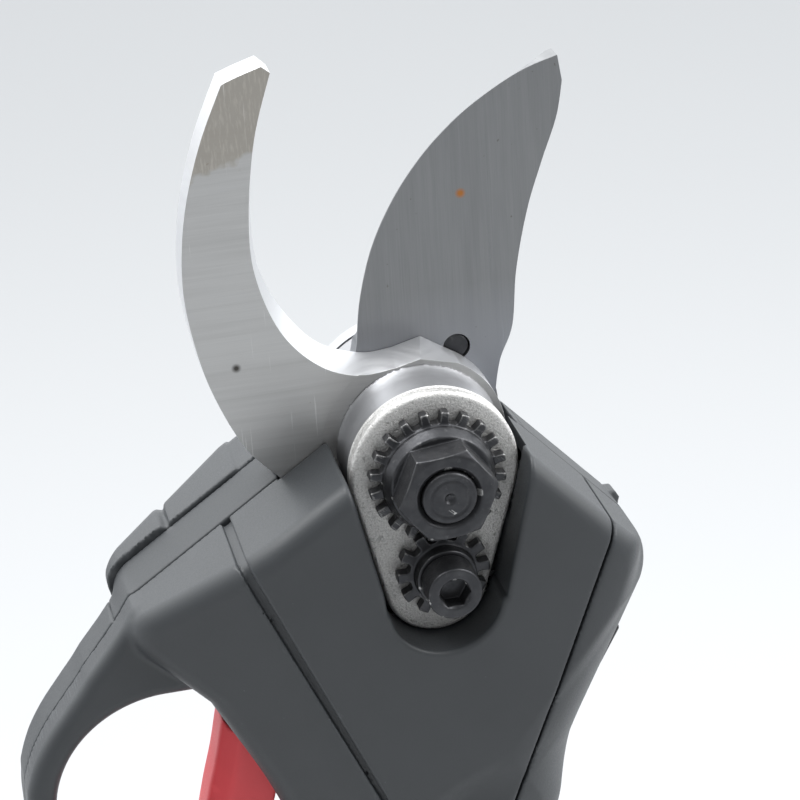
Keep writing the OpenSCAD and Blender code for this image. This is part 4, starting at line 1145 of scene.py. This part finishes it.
MATERIALS = {
    "moulded_black": moulded("moulded_black", (0.040, 0.0438, 0.0475), 0.46),
    "strip_black": moulded("strip_black", (0.041, 0.0448, 0.0485), 0.48),
    "pack_black": moulded("pack_black", (0.042, 0.0455, 0.0495), 0.48),
    "trigger_red": moulded("trigger_red", (0.72, 0.055, 0.066), 0.42, 0.006, 0.02),
    "board_green": moulded("board_green", (0.03, 0.16, 0.07), 0.4, 0.02),
    "lead_red": moulded("lead_red", (0.5, 0.03, 0.03), 0.5),
    "lead_orange": moulded("lead_orange", (0.55, 0.2, 0.03), 0.5),
    "window_black": glossy("window_black", (0.01, 0.01, 0.012), 0.08),
    "cell_blue": glossy("cell_blue", (0.05, 0.2, 0.45), 0.25),
    "blade_steel": hook_steel(),
    "blade_grey": swing_steel(),
    "cast_silver": polished(),
    "blasted_silver": blasted(),
    "black_oxide": oxide("black_oxide", False),
    "gear_steel": metal("gear_steel", (0.35, 0.35, 0.36), 0.38, (1.5, 1.5, 1.5)),
    "bright_steel": metal("bright_steel", (0.62, 0.62, 0.62), 0.25, (0.1, 0.1, 3.0)),
    "bronze": metal("bronze", (0.55, 0.36, 0.16), 0.4, (1.6, 1.6, 1.6), 0.02),
    "case_aluminium": metal("case_aluminium", (0.46, 0.47, 0.48), 0.48, (0.9, 0.9, 0.9), 0.05),
    "copper_wire": metal("copper_wire", (0.65, 0.27, 0.1), 0.3, (0.1, 0.1, 2.2), 0.05),
    "magnet_grey": metal("magnet_grey", (0.12, 0.12, 0.13), 0.45, (1.2, 1.2, 1.2), 0.02),
    "contact_gold": metal("contact_gold", (0.75, 0.52, 0.2), 0.25, (0.1, 3.0, 0.1)),
    "nickel": metal("nickel", (0.6, 0.59, 0.56), 0.3, (0.1, 0.1, 3.0)),
}


WORN_OXIDE = oxide("worn_oxide", True)


# ---------- the pieces ----------

SLOT_OF = {part["node"]: part["material_slot"] for part in frame["record"]["subparts"]}

for cad_node, cad_object in frame["nodes"].items():
    cad_object.data.materials.clear()
    cad_object.data.materials.append(MATERIALS[SLOT_OF[cad_node]])


def finish_piece(obj, node):
    """Hands a finished piece its CAD node's place, and the material for the node's slot."""
    slot = SLOT_OF[node]
    return place(obj, node, WORN_OXIDE if slot == "black_oxide" else MATERIALS[slot])


def carve_node(name, node, field, step, keep=0.3, margin=2.2):
    """A carved piece that stands for one CAD node and is meshed within its box."""
    low, high = cad_box(node)
    return finish_piece(carved(name, field, low - margin, high + margin, step, keep), node)


THUMB_MARGIN = 5.0       # these pieces stand about 1.5 mm further in than their CAD nodes

# name, CAD node, field, cell size in mm, share of faces kept, and room beyond the CAD box
CARVED = [
    ("front_moulding", "front_shell", front_shell, 0.5, 0.3),
    ("rear_moulding", "rear_shell", rear_shell, 0.5, 0.3),
    ("cover_moulding", "front_cover", front_cover, 0.45, 0.35),
    ("spine_strip_left", "left_spine_strip", strip(LEFT_SLOPE, LEFT_STRIP), 0.4, 0.4),
    ("spine_strip_right", "right_spine_strip", strip(RIGHT_SLOPE, RIGHT_STRIP), 0.4, 0.4),
    ("trigger_lever", "trigger", trigger, 0.4, 0.4),
    ("display_glass", "display_window", window_glass, 0.35, 0.3, THUMB_MARGIN),
    ("display_circuit", "display_board", display_board, 0.3, 0.4, THUMB_MARGIN),
    ("button_cap", "power_button", button, 0.16, 0.6, THUMB_MARGIN),
    ("nut", "lock_nut", lock_nut, 0.2, 1),
    ("bolt", "pivot_bolt", pivot_bolt, 0.24, 1),
    ("lock_gear", "lock_pinion", lock_pinion, 0.2, 1),
    ("cap_screw", "lock_screw", lock_screw, 0.18, 1),
    ("drive_stud", "drive_pin", drive_stud, 0.2, 1),
    ("front_plate", "lock_plate", lock_plate, 0.3, 1),
    ("casting", "nose_casting", nose_casting, 0.32, 1),
    ("battery_body", "battery_case", battery_case, 0.8, 0.3),
    ("battery_top", "battery_lid", battery_lid, 0.7, 0.4),
    ("release_left", "latch_left", latch("latch_left", -1), 0.3, 0.4),
    ("release_right", "latch_right", latch("latch_right", 1), 0.3, 0.4),
]
for row in CARVED:
    carve_node(*row)
finish_piece(make_fixed_blade(), "fixed_blade")
finish_piece(make_moving_blade(), "moving_blade")


# ---------- studio ----------

ROOM_LEVEL, WALL_LEVEL = 0.42, 2.2       # the surroundings' brightness in front and behind
FLOOR_GREY = (0.51, 0.518, 0.526)
FLOOR_SIZE_M = 12


def floor_material():
    n = Nodes("floor", FLOOR_GREY, 0.9)
    lighter = tuple(c * 1.03 for c in FLOOR_GREY)
    n.tint(n.span(n.noise((0.002, 0.002, 0.002), 2), 0.3, 0.7, 0, 0.3), lighter)
    n.rise(n.noise((0.05, 0.05, 0.05), 2), 0.02)
    return n.done()


def lamp(name, size, watts, at):
    """A square soft light at a point in millimetres about the pivot, aimed at the pivot."""
    light = bpy.data.lights.new(name, "AREA")
    light.shape = "SQUARE"
    light.size = size * MM
    light.energy = watts
    obj = bpy.data.objects.new(name, light)
    bpy.context.scene.collection.objects.link(obj)
    obj.location = (Vector(at) + Vector(PIVOT)) * MM
    obj.rotation_euler = (-Vector(at)).to_track_quat("-Z", "Y").to_euler()


def make_studio():
    """A pale floor, surroundings brighter behind the object, and two soft lights."""
    bpy.ops.mesh.primitive_grid_add(x_subdivisions=8, y_subdivisions=8, size=FLOOR_SIZE_M,
                                    location=(0, 2, 0))
    floor = bpy.context.object
    floor.name = "floor"
    floor.data.materials.append(floor_material())
    world = bpy.data.worlds.new("studio")
    world.use_nodes = True
    tree = world.node_tree
    background = tree.nodes["Background"]
    background.inputs["Color"].default_value = (0.96, 0.98, 1.0, 1)
    parts = tree.nodes.new("ShaderNodeSeparateXYZ")
    tree.links.new(tree.nodes.new("ShaderNodeTexCoord").outputs["Generated"], parts.inputs[0])
    level = tree.nodes.new("ShaderNodeMapRange")
    tree.links.new(parts.outputs["Y"], level.inputs["Value"])
    for key, value in zip(MAP_ENDS, (-0.4, 0.5, ROOM_LEVEL, WALL_LEVEL)):
        level.inputs[key].default_value = value
    tree.links.new(level.outputs["Result"], background.inputs["Strength"])
    scene = bpy.context.scene
    scene.world = world
    scene.view_settings.view_transform = "Standard"
    lamp("key", 450, 3.6, (-240, 80, 520))
    lamp("right_soft", 400, 2.6, (420, -120, 330))


CAMERA_TURN, CAMERA_TILT = math.radians(-11.28), math.radians(24.84)
CAMERA_ROLL = math.radians(-3.71)
CAMERA_DISTANCE = 520.0
CAMERA_SHIFT = (1.94, -4.93)             # the pivot's place right of and above the middle
LENS_MM, SENSOR_MM = 126.3, 36.0


def make_camera():
    back = Vector((math.sin(CAMERA_TURN) * math.cos(CAMERA_TILT),
                   -math.cos(CAMERA_TURN) * math.cos(CAMERA_TILT), math.sin(CAMERA_TILT)))
    level = (-back).cross(Vector((0, 0, 1))).normalized()
    upright = level.cross(-back)
    c, s = math.cos(CAMERA_ROLL), math.sin(CAMERA_ROLL)
    right, up = c * level + s * upright, c * upright - s * level
    at = back * CAMERA_DISTANCE - right * CAMERA_SHIFT[0] - up * CAMERA_SHIFT[1] + Vector(PIVOT)
    data = bpy.data.cameras.new("camera")
    data.lens, data.sensor_width = LENS_MM, SENSOR_MM
    data.clip_start, data.clip_end = 0.01, 50
    obj = bpy.data.objects.new("camera", data)
    bpy.context.scene.collection.objects.link(obj)
    turn = Matrix((right, up, back)).transposed().to_4x4()
    obj.matrix_world = Matrix.Translation(at * MM) @ turn
    bpy.context.scene.camera = obj


make_studio()
make_camera()
